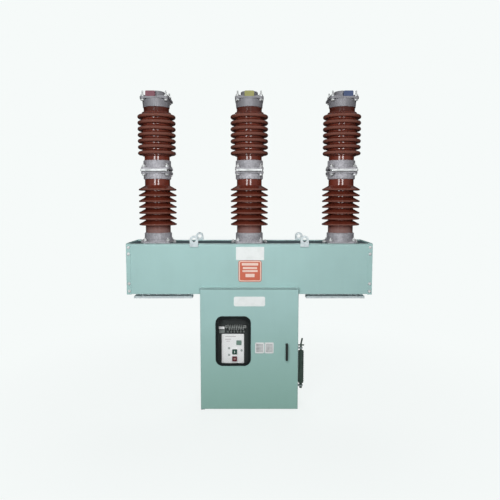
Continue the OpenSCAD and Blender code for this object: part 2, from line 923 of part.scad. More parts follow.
// Rubber that grips the edge of the sheet outside and the glass inside
module window_gasket() {
    full_t = door_sheet + 2 * gasket_proud;
    web_y = door_front_y - gasket_proud;
    color(rubber)
        difference() {
            upright(window_x, web_y, window_z, full_t)
                window_outline(gasket_lip);
            upright(window_x, web_y - cut, window_z, full_t + 2 * cut)
                window_outline(-gasket_lip - glass_groove);
            upright(window_x, web_y + (full_t - glass_t) / 2 - window_gap, window_z,
                    glass_t + 2 * window_gap)
                window_outline(-gasket_lip + window_gap);
            difference() {
                upright(window_x, door_front_y, window_z, door_sheet)
                    window_outline(gasket_lip + cut);
                upright(window_x, door_front_y - cut, window_z, door_sheet + 2 * cut)
                    window_outline(-window_gap);
            }
        }
}

module window_glass() {
    color([0.8, 0.9, 0.95, 0.3])
        upright(window_x, door_front_y + (door_sheet - glass_t) / 2, window_z, glass_t)
            window_outline(-gasket_lip);
}

// Lever that hangs from its pivot, on a boss and a shaft through the door
module door_handle() {
    color(rubber)
        translate([handle_x, door_front_y, handle_z]) {
            translate([0, -handle_boss_h, 0])
                rod_y(handle_boss_d, handle_boss_h - handle_gap);
            rod_y(handle_shaft_d, door_t - door_sheet);
            translate([0, -handle_boss_h, 0])
                rod_y(handle_shaft_d, handle_boss_h);
            translate([0, -handle_boss_h - handle_t, 0])
                rotate([-90, 0, 0])
                    linear_extrude(handle_t) {
                        circle(d = handle_w);
                        translate([-handle_w / 2, 0])
                            square([handle_w, handle_l - handle_w / 2]);
                        translate([0, handle_l - handle_w / 2])
                            circle(d = handle_w);
                    }
        }
}

// Closed housing of the spring mechanism, with its front plate and the holes for the stems
module mechanism_housing() {
    mech_w = mech_right - mech_left;
    mech_h = mech_high_z - mech_low_z;
    mech_back_y = cabinet_d / 2 - cabinet_sheet;
    color(mech_black)
        difference() {
            union() {
                translate([mech_left, mech_y, mech_low_z])
                    cube([mech_w, mech_plate_t, mech_h]);
                translate([mech_left + mech_plate_margin, mech_y, mech_low_z + mech_plate_margin])
                    cube([mech_w - 2 * mech_plate_margin, mech_back_y - mech_y,
                          mech_h - 2 * mech_plate_margin]);
            }
            for (z = [on_button_z, off_button_z])
                translate([button_x, mech_y - cut, z])
                    rod_y(stem_d + 2 * stem_gap, stem_l + button_stroke + 2 * cut);
        }
}

// Outline of a push-button, grown by some amount on every side
module button_outline(grow) {
    rounded_rect(button_w + 2 * grow, button_w + 2 * grow, button_r + grow);
}

// White plate with a raised frame around each push-button
module control_plate() {
    bezel_h = button_stroke + button_h / 2;
    color(plate_white)
        difference() {
            union() {
                upright(control_x, control_y, control_z, control_t)
                    rounded_rect(control_w, control_h, control_r);
                for (z = [on_button_z, off_button_z])
                    upright(button_x, control_y - bezel_h, z, bezel_h)
                        button_outline(button_gap + bezel_w);
            }
            for (z = [on_button_z, off_button_z]) {
                upright(button_x, control_y - bezel_h - cut, z, bezel_h + cut)
                    button_outline(button_gap);
                translate([button_x, control_y - cut, z])
                    rod_y(stem_d + 2 * stem_gap, control_t + 2 * cut);
            }
        }
}

// Square cap on a stem that runs in the mechanism, standing out by its stroke
module push_button(z) {
    upright(button_x, button_y - button_h, z, button_h)
        button_outline(0);
    translate([button_x, button_y, z])
        rod_y(stem_d, button_stroke + cut + control_t + stem_l);
}

module on_button() {
    color("#1f8a4c")
        push_button(on_button_z);
}

module off_button() {
    color("#b3262a")
        push_button(off_button_z);
}

module position_indicator() {
    color("#7d9a8c")
        upright(indicator_at[0], control_y - indicator_size[2], indicator_at[1], indicator_size[2])
            square([indicator_size[0], indicator_size[1]], center = true);
}

module operations_counter() {
    color("#9aa0a2")
        upright(counter_at[0], mech_y - counter_size[2], counter_at[1], counter_size[2])
            square([counter_size[0], counter_size[1]], center = true);
}

// Stowed charging handle: grip, rod, cross bar and socket end on one upright axis
module charging_handle() {
    elbow_z = crank_cross_z + crank_cross_d;
    color(rubber)
        translate([crank_x, crank_y, crank_low_z]) {
            cylinder(d = crank_grip_d, h = crank_grip_l);
            translate([0, 0, crank_grip_l])
                cylinder(d = crank_rod_d, h = elbow_z);
            translate([0, 0, crank_grip_l + elbow_z - crank_root])
                rotate([0, crank_lean, 0])
                    cylinder(d = crank_tip_d, h = crank_rod_l - elbow_z + crank_root);
            translate([-crank_cross_l / 2, 0, crank_grip_l + crank_cross_z])
                rotate([0, 90, 0])
                    cylinder(d = crank_cross_d, h = crank_cross_l);
            translate([0, 0, -crank_foot_l])
                cylinder(d = crank_foot_d, h = crank_foot_l);
        }
}

// Two blocks on the cabinet's side that hold the socket end and the rod
module handle_clips() {
    color(galvanised)
        for (c = [[crank_low_z - crank_foot_l / 2, crank_foot_d],
                  [crank_top_z + crank_cross_z / 2, crank_rod_d]])
            translate([cabinet_w / 2, crank_y, c[0]])
                difference() {
                    union() {
                        translate([0, -clip_w / 2, -clip_t])
                            cube([crank_off, clip_w, 2 * clip_t]);
                        translate([crank_off, 0, -clip_t])
                            cylinder(d = c[1] + 2 * clip_t, h = 2 * clip_t);
                    }
                    translate([crank_off, 0, -clip_t - cut])
                        cylinder(d = c[1] + 2 * clip_gap, h = 2 * clip_t + 2 * cut);
                }
}

trough_front();
trough_rear();
trough_floor();
trough_top_plate();
trough_end_left();
trough_end_right();
mounting_rails();
lifting_lugs();
drip_strip();
cabinet_side_left();
cabinet_side_right();
cabinet_back();
cabinet_roof();
cabinet_floor();
door_frame();
door_seal();
hinge_brackets();
mechanism_housing();
control_plate();
position_indicator();
operations_counter();
on_button();
off_button();
cabinet_door();
window_gasket();
window_glass();
hinge_bushings();
door_handle();
charging_handle();
handle_clips();
for (i = [0 : len(POLES) - 1]) {
    base_casting(i);
    lower_insulator(i);
    lower_cap(i);
    lower_terminal(i);
    upper_base(i);
    upper_insulator(i);
    top_cap(i);
    top_terminal(i);
    phase_cover(i);
}
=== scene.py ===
"""Looks of a three-pole outdoor vacuum circuit breaker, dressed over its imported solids."""

import json
import logging
import math
from dataclasses import dataclass, field
from enum import Enum
from functools import cached_property
from typing import Any, Callable, Iterable, Optional, Sequence, Union

import bmesh
import bpy
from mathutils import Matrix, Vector

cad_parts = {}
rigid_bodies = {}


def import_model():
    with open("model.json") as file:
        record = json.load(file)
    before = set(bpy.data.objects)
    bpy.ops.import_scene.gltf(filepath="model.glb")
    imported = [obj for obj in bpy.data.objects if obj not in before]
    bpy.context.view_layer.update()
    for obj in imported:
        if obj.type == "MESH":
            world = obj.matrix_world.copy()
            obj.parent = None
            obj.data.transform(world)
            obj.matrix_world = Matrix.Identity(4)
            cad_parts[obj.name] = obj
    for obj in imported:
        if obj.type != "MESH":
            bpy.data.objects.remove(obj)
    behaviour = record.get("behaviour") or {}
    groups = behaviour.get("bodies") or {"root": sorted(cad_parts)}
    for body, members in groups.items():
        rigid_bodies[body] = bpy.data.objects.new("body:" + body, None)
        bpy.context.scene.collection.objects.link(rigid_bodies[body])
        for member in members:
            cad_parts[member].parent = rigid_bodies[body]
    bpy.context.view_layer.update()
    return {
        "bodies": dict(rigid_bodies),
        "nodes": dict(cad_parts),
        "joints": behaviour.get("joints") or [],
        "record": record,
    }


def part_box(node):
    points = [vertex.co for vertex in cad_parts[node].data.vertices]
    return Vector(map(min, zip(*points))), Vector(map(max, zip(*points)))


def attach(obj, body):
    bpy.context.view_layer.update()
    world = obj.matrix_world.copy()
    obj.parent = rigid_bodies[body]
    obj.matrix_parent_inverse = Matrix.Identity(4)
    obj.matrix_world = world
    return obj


LOG = logging.getLogger("breaker")
POLES = ("left", "centre", "right")

Rgba = tuple[float, float, float, float]
Point = tuple[float, float, float]
Spot = tuple[Point, Point]
Outline = list[tuple[float, float]]
Frame = tuple[float, float, float, float]
Number = Union["Wire", float]
Inputs = dict[Union[str, int], Any]
Socket = bpy.types.NodeSocket
Material = bpy.types.Material

UP, DOWN = (0.0, 0.0, 1.0), (0.0, 0.0, -1.0)
FRONT, BEHIND = (0.0, -1.0, 0.0), (0.0, 1.0, 0.0)
RIGHT = (1.0, 0.0, 0.0)


def srgb(red: int, green: int, blue: int) -> Rgba:
    """Turns a screen colour into the linear colour that the shaders use.

    Args:
        red: Red from 0 to 255.
        green: Green from 0 to 255.
        blue: Blue from 0 to 255.

    Returns:
        The linear colour with full alpha.
    """
    def linear(level: int) -> float:
        """Undoes the screen curve of one channel."""
        share = level / 255.0
        return share / 12.92 if share <= 0.04045 else ((share + 0.055) / 1.055) ** 2.4

    return (linear(red), linear(green), linear(blue), 1.0)


def arithmetic(operation: str, swapped: bool = False) -> Callable[["Wire", Number], "Wire"]:
    """Makes one of a wire's arithmetic methods, with the other value first where it is swapped."""
    def method(wire: "Wire", other: Number) -> "Wire":
        """Joins the wire and the other value."""
        return wire.join(operation, *((other, wire) if swapped else (wire, other)))

    return method


class Wire:
    """A number that travels through a node tree and joins others by arithmetic."""

    def __init__(self, bench: "Bench", socket: Socket) -> None:
        """Keeps the tree and the socket that the number comes from."""
        self.bench = bench
        self.socket = socket

    def join(self, operation: str, first: Number, second: Number, clamp: bool = False) -> "Wire":
        """Adds one Math node, held between 0 and 1 where asked."""
        made = self.bench.node("ShaderNodeMath", {"operation": operation, "use_clamp": clamp},
                               {0: first, 1: second})
        return Wire(self.bench, made.outputs[0])

    __add__, __radd__ = arithmetic("ADD"), arithmetic("ADD", True)
    __sub__, __rsub__ = arithmetic("SUBTRACT"), arithmetic("SUBTRACT", True)
    __mul__, __rmul__ = arithmetic("MULTIPLY"), arithmetic("MULTIPLY", True)
    __pow__ = arithmetic("POWER")

    def held(self) -> "Wire":
        """Holds the number between 0 and 1."""
        return self.join("ADD", self, 0.0, clamp=True)

    def most(self, other: Number) -> "Wire":
        """Gives the larger of two numbers."""
        return self.join("MAXIMUM", self, other)

    def rise(self, low: float, high: float) -> "Wire":
        """Turns the number into a smooth step from 0 at low to 1 at high."""
        made = self.bench.node("ShaderNodeMapRange", {"interpolation_type": "SMOOTHSTEP"},
                               {"Value": self, "From Min": low, "From Max": high})
        return Wire(self.bench, made.outputs["Result"])

    def wrapped(self, low: float, high: float) -> "Wire":
        """Repeats the number between two limits."""
        made = self.bench.node("ShaderNodeMath", {"operation": "WRAP"}, {0: self, 1: high, 2: low})
        return Wire(self.bench, made.outputs[0])


class NodeMaker:
    """A node tree, with one method that makes any node in it."""

    def __init__(self, tree: bpy.types.NodeTree) -> None:
        """Keeps the tree that the nodes go into."""
        self.tree = tree

    def node(self, kind: str, settings: Optional[dict[str, Any]] = None,
             inputs: Optional[Inputs] = None) -> bpy.types.Node:
        """Makes a node, sets it up and joins its sockets.

        Args:
            kind: The node's type.
            settings: Properties of the node, set first.
            inputs: Values, wires or sockets by input name or index.

        Returns:
            The new node.
        """
        made = self.tree.nodes.new(kind)
        for key, value in (settings or {}).items():
            setattr(made, key, value)
        for key, value in (inputs or {}).items():
            source = value.socket if isinstance(value, Wire) else value
            if isinstance(source, Socket):
                self.tree.links.new(source, made.inputs[key])
            else:
                made.inputs[key].default_value = source
        return made


class Bench(NodeMaker):
    """The node tree of a material or of the surround."""

    BEVEL_SAMPLES = 6
    EDGE_GAIN = 6.0

    def __init__(self, name: str, surround: bool = False) -> None:
        """Starts an empty tree.

        Args:
            name: The name of the material or the surround.
            surround: Whether the tree is the world's.
        """
        self.owner = bpy.data.worlds.new(name) if surround else bpy.data.materials.new(name)
        self.owner.use_nodes = True
        super().__init__(self.owner.node_tree)
        self.tree.nodes.clear()

    @cached_property
    def place(self) -> Socket:
        """Object coordinates, which are the part's own metres at rest."""
        return self.node("ShaderNodeTexCoord").outputs["Object"]

    @cached_property
    def facing(self) -> Socket:
        """The surface's own normal."""
        return self.node("ShaderNodeNewGeometry").outputs["Normal"]

    def axes(self, vector: Socket) -> tuple[Wire, Wire, Wire]:
        """Splits a vector into its three parts."""
        made = self.node("ShaderNodeSeparateXYZ", None, {0: vector})
        return tuple(Wire(self, part) for part in made.outputs)

    def stretched(self, scale: Point) -> Socket:
        """Scales Object coordinates along their axes."""
        return self.node("ShaderNodeMapping", None, {"Vector": self.place, "Scale": scale}).outputs[0]

    def noise(self, scale: float, detail: float = 2.0, rough: float = 0.5,
              vector: Optional[Socket] = None) -> Wire:
        """Makes a noise from 0 to 1, on Object coordinates where no vector is given."""
        made = self.node("ShaderNodeTexNoise", None, {"Vector": vector or self.place, "Scale": scale,
                                                      "Detail": detail, "Roughness": rough})
        return Wire(self, made.outputs["Fac"])

    def mixed(self, share: Number, first: Any, second: Any) -> Socket:
        """Mixes two colours, where the share is how much of the second shows."""
        made = self.node("ShaderNodeMix", {"data_type": "RGBA"}, {0: share, 6: first, 7: second})
        return made.outputs[2]

    def soft_edge(self, radius: float) -> Socket:
        """Gives a normal that rounds sharp edges by a radius in metres."""
        return self.node("ShaderNodeBevel", {"samples": self.BEVEL_SAMPLES}, {"Radius": radius}).outputs[0]

    def edge(self, radius: float) -> Wire:
        """Gives a mask that is 1 on the strip along sharp edges."""
        made = self.node("ShaderNodeVectorMath", {"operation": "DOT_PRODUCT"},
                         {0: self.soft_edge(radius), 1: self.facing})
        return ((1.0 - Wire(self, made.outputs["Value"])) * self.EDGE_GAIN).held()

    def bumped(self, height: Wire, strength: float, depth: float,
               normal: Optional[Socket] = None) -> Socket:
        """Turns a height into a normal.

        Args:
            height: The height as a wire.
            strength: Strength of the bump.
            depth: Depth in metres that a height of 1 stands for.
            normal: Normal to start from.

        Returns:
            The normal's socket.
        """
        inputs: Inputs = {"Height": height, "Strength": strength, "Distance": depth}
        if normal is not None:
            inputs["Normal"] = normal
        return self.node("ShaderNodeBump", None, inputs).outputs[0]

    def done(self, inputs: Inputs) -> Material:
        """Ends the tree in a Principled shader.

        Args:
            inputs: The shader's values, wires or sockets by name.

        Returns:
            The material.
        """
        shader = self.node("ShaderNodeBsdfPrincipled", None, inputs)
        self.node("ShaderNodeOutputMaterial", None, {"Surface": shader.outputs[0]})
        return self.owner


@dataclass(frozen=True)
class Coat:
    """A finish, shaded by a small node tree."""

    name: str
    colour: Rgba

    def shade(self, bench: Bench) -> Inputs:
        """Gives the shader's inputs."""
        raise NotImplementedError

    def make(self) -> Material:
        """Builds the material."""
        bench = Bench(self.name)
        return bench.done(self.shade(bench))


@dataclass(frozen=True)
class SheetPaint(Coat):
    """Sprayed enamel on folded sheet: fine orange peel, painted shade towards the floor, dust on ledges,
    scuffed edges.
    """

    scuff: Rgba
    dust: Rgba
    # Colour of the painted shade towards the floor
    low: Rgba
    roughness: float = 0.42
    peel: float = 0.05
    shine: float = 0.35

    def shade(self, bench: Bench) -> Inputs:
        """Lays a painted shade towards the floor, dust and scuffs over the enamel."""
        cloud = bench.noise(3.0, 3.0)
        runs = bench.noise(1.0, 2.0, 0.5, bench.stretched((22.0, 22.0, 1.6)))
        speck = bench.noise(160.0, 3.0, 0.6)
        up = bench.axes(bench.facing)[2]
        deep = tuple(level * 0.93 for level in self.colour[:3]) + (1.0,)
        tone = bench.mixed((cloud * 0.8 + runs * 0.2).rise(0.3, 0.7), deep, self.colour)
        height = bench.axes(bench.place)[2]
        # Painted shade: darker and greener towards the floor, standing in for the light falling off downwards
        painted_low_shade = (1.0 - height.rise(0.0, 0.85)) * (0.8 + 0.2 * runs)
        tone = bench.mixed(painted_low_shade, tone, self.low)
        ledge = up.rise(0.6, 0.95) * (0.25 + 0.35 * cloud)
        tone = bench.mixed(ledge, tone, self.dust)
        worn = bench.edge(0.0035) * speck.rise(0.42, 0.62)
        tone = bench.mixed((worn * 0.55).held(), tone, self.scuff)
        peel = bench.noise(420.0, 2.0, 0.5)
        return {
            "Base Color": tone,
            "Roughness": self.roughness + 0.1 * (cloud - 0.5) + 0.12 * worn,
            "Specular IOR Level": self.shine,
            "Normal": bench.bumped(peel, self.peel, 0.0006, bench.soft_edge(0.0025)),
        }


@dataclass(frozen=True)
class CastMetal(Coat):
    """Aluminium-painted casting: sandy skin, bright rubbed edges, dark random blotches, and painted shade on
    down-facing faces and towards the top.
    """

    # Colour of the dark blotches and of the painted shade
    grime: Rgba
    bright: Rgba
    # Height up to which the painted shade at the top grows
    crown: float
    metallic: float = 0.15
    roughness: float = 0.5

    def shade(self, bench: Bench) -> Inputs:
        """Lays dark blotches, painted shade and rubbed edges over the casting's skin."""
        cloud = bench.noise(16.0, 4.0, 0.6)
        pits = bench.noise(75.0, 3.0, 0.6)
        sand = bench.noise(240.0, 4.0, 0.65)
        down = 0.0 - bench.axes(bench.facing)[2]
        height = bench.axes(bench.place)[2]
        blotch = cloud.rise(0.35, 0.7) * 0.3 + pits.rise(0.35, 0.68) * 0.45 + sand.rise(0.3, 0.7) * 0.2
        tone = bench.mixed(blotch.held(), self.colour, self.grime)
        # Painted shade: down-facing faces and the castings near and above the crown height are darkened,
        # standing in for shade
        painted_cast_shade = down.rise(0.3, 0.9) * 0.35 + height.rise(self.crown - 0.06, self.crown) * 0.8
        tone = bench.mixed(painted_cast_shade.held(), tone, self.grime)
        rubbed = bench.edge(0.003) * sand.rise(0.35, 0.6)
        tone = bench.mixed((rubbed * 0.7).held(), tone, self.bright)
        return {
            "Base Color": tone,
            "Metallic": self.metallic + 0.2 * rubbed,
            "Roughness": self.roughness + 0.16 * (cloud - 0.5) - 0.08 * rubbed,
            "Normal": bench.bumped(sand + 0.5 * cloud + 1.2 * pits, 0.4, 0.0014, bench.soft_edge(0.003)),
        }


@dataclass(frozen=True)
class BrightMetal(Coat):
    """Tinned, plated or rolled bright metal, with fine lines along one axis and dull patches."""

    dull: Rgba
    grain: Point
    roughness: float = 0.27
    metallic: float = 1.0

    def shade(self, bench: Bench) -> Inputs:
        """Draws the lines and the dull patches."""
        lines = bench.noise(1.0, 3.0, 0.6, bench.stretched(self.grain))
        patch = bench.noise(26.0, 4.0, 0.6)
        tone = bench.mixed(patch.rise(0.45, 0.75) * 0.5 + 0.15 * lines, self.colour, self.dull)
        worn = bench.edge(0.002)
        tone = bench.mixed(worn * 0.4, tone, self.colour)
        return {
            "Base Color": tone,
            "Metallic": self.metallic,
            "Roughness": self.roughness + 0.18 * patch.rise(0.4, 0.8) + 0.08 * (lines - 0.5),
            "Normal": bench.bumped(lines, 0.12, 0.0004, bench.soft_edge(0.0015)),
        }


@dataclass(frozen=True)
class Galvanised(Coat):
    """Hot-dip zinc: spangled crystals of slightly different greys and gloss."""

    dark: Rgba
    spangle: float = 90.0

    def shade(self, bench: Bench) -> Inputs:
        """Draws the crystals."""
        crystal = bench.node("ShaderNodeTexVoronoi", {"feature": "F1"},
                             {"Vector": bench.place, "Scale": self.spangle, "Randomness": 1.0})
        shade = bench.axes(crystal.outputs["Color"])[0]
        cloud = bench.noise(12.0, 3.0, 0.6)
        tone = bench.mixed((shade * 0.45 + cloud.rise(0.4, 0.75) * 0.45).held(), self.colour, self.dark)
        return {
            "Base Color": tone,
            "Metallic": 0.4,
            "Roughness": 0.42 + 0.16 * shade,
            "Normal": bench.bumped(shade + cloud, 0.12, 0.0005, bench.soft_edge(0.002)),
        }


@dataclass(frozen=True)
class GlazedPorcelain(Coat):
    """Brown glaze that runs thin and pale over the shed tips, with painted shade under the sheds and just
    below the top cap.
    """

    pooled: Rgba
    thin: Rgba
    # Colour of the painted shade
    soot: Rgba
    dusty: Rgba
    foot: float
    # Height up to which the painted shade below the top cap grows
    head: float
    pitch: float
    tip_start: float
    tip_end: float
    roughness: float = 0.13
    shine: float = 0.5

    def shade(self, bench: Bench) -> Inputs:
        """Thins the glaze at the tips and lays painted shade and dust on it."""
        x, y, height = bench.axes(bench.place)
        local = x.wrapped(-self.pitch / 2, self.pitch / 2)
        radius = (local * local + y * y) ** 0.5
        up = bench.axes(bench.facing)[2]
        cloud = bench.noise(9.0, 3.0, 0.55)
        fleck = bench.noise(170.0, 3.0, 0.6)
        tone = bench.mixed((cloud.rise(0.35, 0.7) * 0.7 + fleck.rise(0.45, 0.7) * 0.2).held(),
                           self.colour, self.pooled)
        tip = radius.rise(self.tip_start, self.tip_end)
        tone = bench.mixed((tip * (0.55 + 0.4 * fleck)).held(), tone, self.thin)
        under = (0.0 - up).rise(0.15, 0.8)
        # Painted shade: down-facing faces under the sheds and the glaze just below the top cap are darkened,
        # standing in for shade
        painted_glaze_shade = under * 0.18 + height.rise(self.head - 0.04, self.head) * 0.5
        tone = bench.mixed(painted_glaze_shade.held(), tone, self.soot)
        settled = (1.0 - height.rise(self.foot, self.foot + 0.05)) * (0.25 + 0.3 * cloud)
        tone = bench.mixed(settled, tone, self.dusty)
        film = up.rise(0.5, 0.95) * fleck.rise(0.5, 0.8)
        wave = bench.noise(55.0, 2.0, 0.5)
        return {
            "Base Color": tone,
            "Roughness": self.roughness + 0.18 * under + 0.22 * film + 0.05 * (fleck - 0.5),
            "Specular IOR Level": self.shine,
            "Normal": bench.bumped(wave, 0.025, 0.0012),
        }


@dataclass(frozen=True)
class Moulded(Coat):
    """Moulded plastic or rubber: fine grain, greyed edges, a little dust."""

    grey: Rgba
    roughness: float = 0.45
    grain: float = 380.0
    depth: float = 0.0004
    shine: float = 0.45

    def shade(self, bench: Bench) -> Inputs:
        """Greys the edges and the ledges of the moulding."""
        grain = bench.noise(self.grain, 3.0, 0.6)
        cloud = bench.noise(22.0, 3.0, 0.55)
        up = bench.axes(bench.facing)[2]
        tone = bench.mixed(cloud.rise(0.4, 0.75) * 0.3, self.colour, self.grey)
        tone = bench.mixed((bench.edge(0.002) * 0.35 + up.rise(0.7, 1.0) * 0.18).held(), tone, self.grey)
        return {
            "Base Color": tone,
            "Roughness": self.roughness + 0.15 * (cloud - 0.5),
            "Specular IOR Level": self.shine,
            "Normal": bench.bumped(grain, 0.25, self.depth, bench.soft_edge(0.0012)),
        }


@dataclass(frozen=True)
class WindowPane(Coat):
    """Clear pane with a faint green body and a film of dust."""

    clear: float = 0.006

    def shade(self, bench: Bench) -> Inputs:
        """Lays the film of dust."""
        film = bench.noise(18.0, 4.0, 0.6)
        return {
            "Base Color": self.colour,
            "Roughness": 0.04 + 0.08 * film,
            "Alpha": self.clear + 0.01 * film,
            "Specular IOR Level": 0.8,
        }

    def make(self) -> Material:
        """Builds the material, which lets what is behind it show."""
        made = super().make()
        made.surface_render_method = "BLENDED"
        return made


class Finish(Enum):
    """The finishes of the breaker. Those of the solids have the names of the record's slots."""

    # The fourth colour of each SheetPaint is its painted shade towards the floor
    PAINT = SheetPaint("sea_green_enamel", srgb(168, 203, 200), srgb(212, 228, 227), srgb(206, 224, 223),
                       srgb(148, 187, 176))
    TOP_PLATE = SheetPaint("deck_enamel", srgb(76, 88, 92), srgb(112, 124, 126), srgb(82, 94, 98),
                      srgb(76, 88, 92), 0.75, 0.05, 0.04)
    MECHANISM = SheetPaint("mechanism_enamel", srgb(62, 66, 66), srgb(98, 102, 102), srgb(70, 74, 74),
                           srgb(58, 63, 62), 0.55, 0.2, 0.2)
    GALVANISED = Galvanised("galvanised_steel", srgb(208, 217, 219), srgb(172, 182, 186))
    # The second colour of CASTING serves both the dark blotches and the painted shade
    CASTING = CastMetal("aluminium_painted_casting", srgb(190, 188, 194), srgb(128, 127, 132),
                        srgb(222, 222, 225), crown=2.12)
    TINNED = BrightMetal("tinned_copper", srgb(212, 214, 214), srgb(170, 172, 172),
                         (500.0, 24.0, 200.0), 0.5, 0.6)
    PLATED = BrightMetal("zinc_plated_bolts", srgb(216, 218, 218), srgb(166, 166, 164),
                         (300.0, 300.0, 900.0), 0.42, 0.45)
    SILVER = BrightMetal("brushed_silver_plate", srgb(242, 242, 242), srgb(222, 222, 222),
                         (60.0, 300.0, 700.0), 0.45, 0.2)
    ETCHED = BrightMetal("etched_aluminium", srgb(206, 208, 208), srgb(112, 110, 110),
                         (90.0, 200.0, 220.0), 0.45, 0.4)
    # The fourth colour of PORCELAIN is its painted shade
    PORCELAIN = GlazedPorcelain("brown_glazed_porcelain", srgb(118, 54, 40), srgb(91, 38, 26),
                                srgb(122, 76, 64), srgb(30, 12, 9), srgb(168, 146, 142),
                                foot=1.25, head=2.10, pitch=0.66, tip_start=0.122, tip_end=0.1335)
    RUBBER = Moulded("black_rubber", srgb(24, 30, 30), srgb(44, 50, 50), 0.7, 380.0, 0.0004, 0.15)
    GLASS = WindowPane("window_pane", srgb(16, 20, 19))
    WHITE = Moulded("white_enamel_plate", srgb(240, 243, 242), srgb(212, 216, 214), 0.4, 300.0, 0.0002)
    CONTROL_WHITE = Moulded("white_control_panel", srgb(255, 255, 255), srgb(248, 250, 249),
                            0.35, 300.0, 0.0002)
    BORDER = Moulded("pale_border", srgb(246, 214, 200), srgb(226, 186, 170), 0.42, 300.0, 0.0002)
    RED_PLATE = Moulded("red_enamel_plate", srgb(208, 108, 82), srgb(190, 94, 72), 0.45, 300.0, 0.0002, 0.3)
    INDICATOR = Moulded("green_flag", srgb(122, 150, 139), srgb(96, 122, 112), 0.4)
    LENS = Moulded("grey_lens", srgb(186, 194, 190), srgb(160, 168, 164), 0.3)
    PRINT = Moulded("faint_print", srgb(206, 200, 202), srgb(186, 180, 182), 0.5)
    GRIP = Moulded("worn_rubber_grip", srgb(78, 94, 86), srgb(112, 124, 118), 0.6, 260.0, 0.0006, 0.3)
    COUNTER = Moulded("counter_face", srgb(132, 138, 136), srgb(96, 102, 100), 0.4)
    SPRING = BrightMetal("spring_steel", srgb(176, 180, 178), srgb(116, 120, 118),
                         (200.0, 200.0, 200.0), 0.45, 0.4)
    GREEN_BUTTON = Moulded("green_push_button", srgb(34, 74, 62), srgb(58, 104, 90), 0.35)
    RED_BUTTON = Moulded("red_push_button", srgb(96, 30, 42), srgb(126, 62, 72), 0.35)
    BLACK_PLASTIC = Moulded("black_plastic", srgb(14, 18, 17), srgb(40, 46, 43), 0.42)
    PHASE_RED = Moulded("red_phase_paint", srgb(130, 78, 90), srgb(100, 68, 78), 0.5)
    PHASE_YELLOW = Moulded("yellow_phase_paint", srgb(154, 152, 92), srgb(118, 120, 86), 0.5)
    PHASE_BLUE = Moulded("blue_phase_paint", srgb(66, 82, 120), srgb(70, 80, 104), 0.5)


NODE_FINISHES = {"charging_handle": Finish.GRIP}


class Paintshop:
    """Makes each finish once and hands it out."""

    def __init__(self) -> None:
        """Starts with no finish made."""
        self._made: dict[Finish, Material] = {}

    def get(self, finish: Finish) -> Material:
        """Gives a finish's material, made on first use."""
        if finish not in self._made:
            self._made[finish] = finish.value.make()
        return self._made[finish]

    def dress(self, nodes: dict[str, bpy.types.Object]) -> None:
        """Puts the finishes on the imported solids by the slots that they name.

        Args:
            nodes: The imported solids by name.
        """
        for name, solid in sorted(nodes.items()):
            for slot in solid.material_slots:
                base = slot.material.name.split(".")[0]
                slot.material = self.get(NODE_FINISHES.get(name, Finish[base.upper()]))
            LOG.info("solid %s dressed", name)


class Bodies(Enum):
    """The bodies that pieces ride on."""

    BREAKER = "breaker"
    DOOR = "door"
    CLOSING = "closing_button"
    OPENING = "opening_button"


def linked(name: str, data: bpy.types.ID) -> bpy.types.Object:
    """Makes an object and puts it in the scene.

    Args:
        name: The object's name.
        data: Its mesh, light or camera.

    Returns:
        The object.
    """
    made = bpy.data.objects.new(name, data)
    bpy.context.scene.collection.objects.link(made)
    return made


def hang(name: str, mesh: bpy.types.Mesh, body: Bodies) -> None:
    """Puts a finished mesh in the scene and lets it ride on its body.

    Args:
        name: The piece's name.
        mesh: Its mesh, in place.
        body: The body that it rides on.
    """
    piece = linked(name, mesh)
    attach(piece, body.value)
    LOG.info("piece %s rides on %s", name, body.value)


def rounded(x: float, z: float, width: float, height: float, corner: float, steps: int) -> Outline:
    """Draws a rectangle with round corners.

    Args:
        x: Middle across.
        z: Middle upwards.
        width: Width.
        height: Height.
        corner: Radius of the corners.
        steps: Faces in a corner.

    Returns:
        The outline's points, in order.
    """
    points = []
    for index, (side, rise) in enumerate(((1, 1), (-1, 1), (-1, -1), (1, -1))):
        middle = (x + side * (width / 2 - corner), z + rise * (height / 2 - corner))
        for step in range(steps + 1):
            angle = math.radians(90 * index + 90 * step / steps)
            points.append((middle[0] + corner * math.cos(angle), middle[1] + corner * math.sin(angle)))
    return points


@dataclass(frozen=True)
class Plate:
    """An upright rectangle between its sides in X and its edges in Z, in metres."""

    left: float
    right: float
    low: float
    high: float

    def frame(self, rim: float = 0.0) -> Frame:
        """Gives the middle in X and Z, the width and the height, above a rim."""
        return ((self.left + self.right) / 2, rim + (self.low + self.high) / 2,
                self.right - self.left, self.high - self.low)


@dataclass(frozen=True)
class Layer:
    """One flat layer of a plate, in metres, with what it is narrower and lower by than the plate."""

    finish: Finish
    thick: float
    corner: float
    narrower: float = 0.0
    lower: float = 0.0
    bevel: float = 0.0005
    steps: int = 6


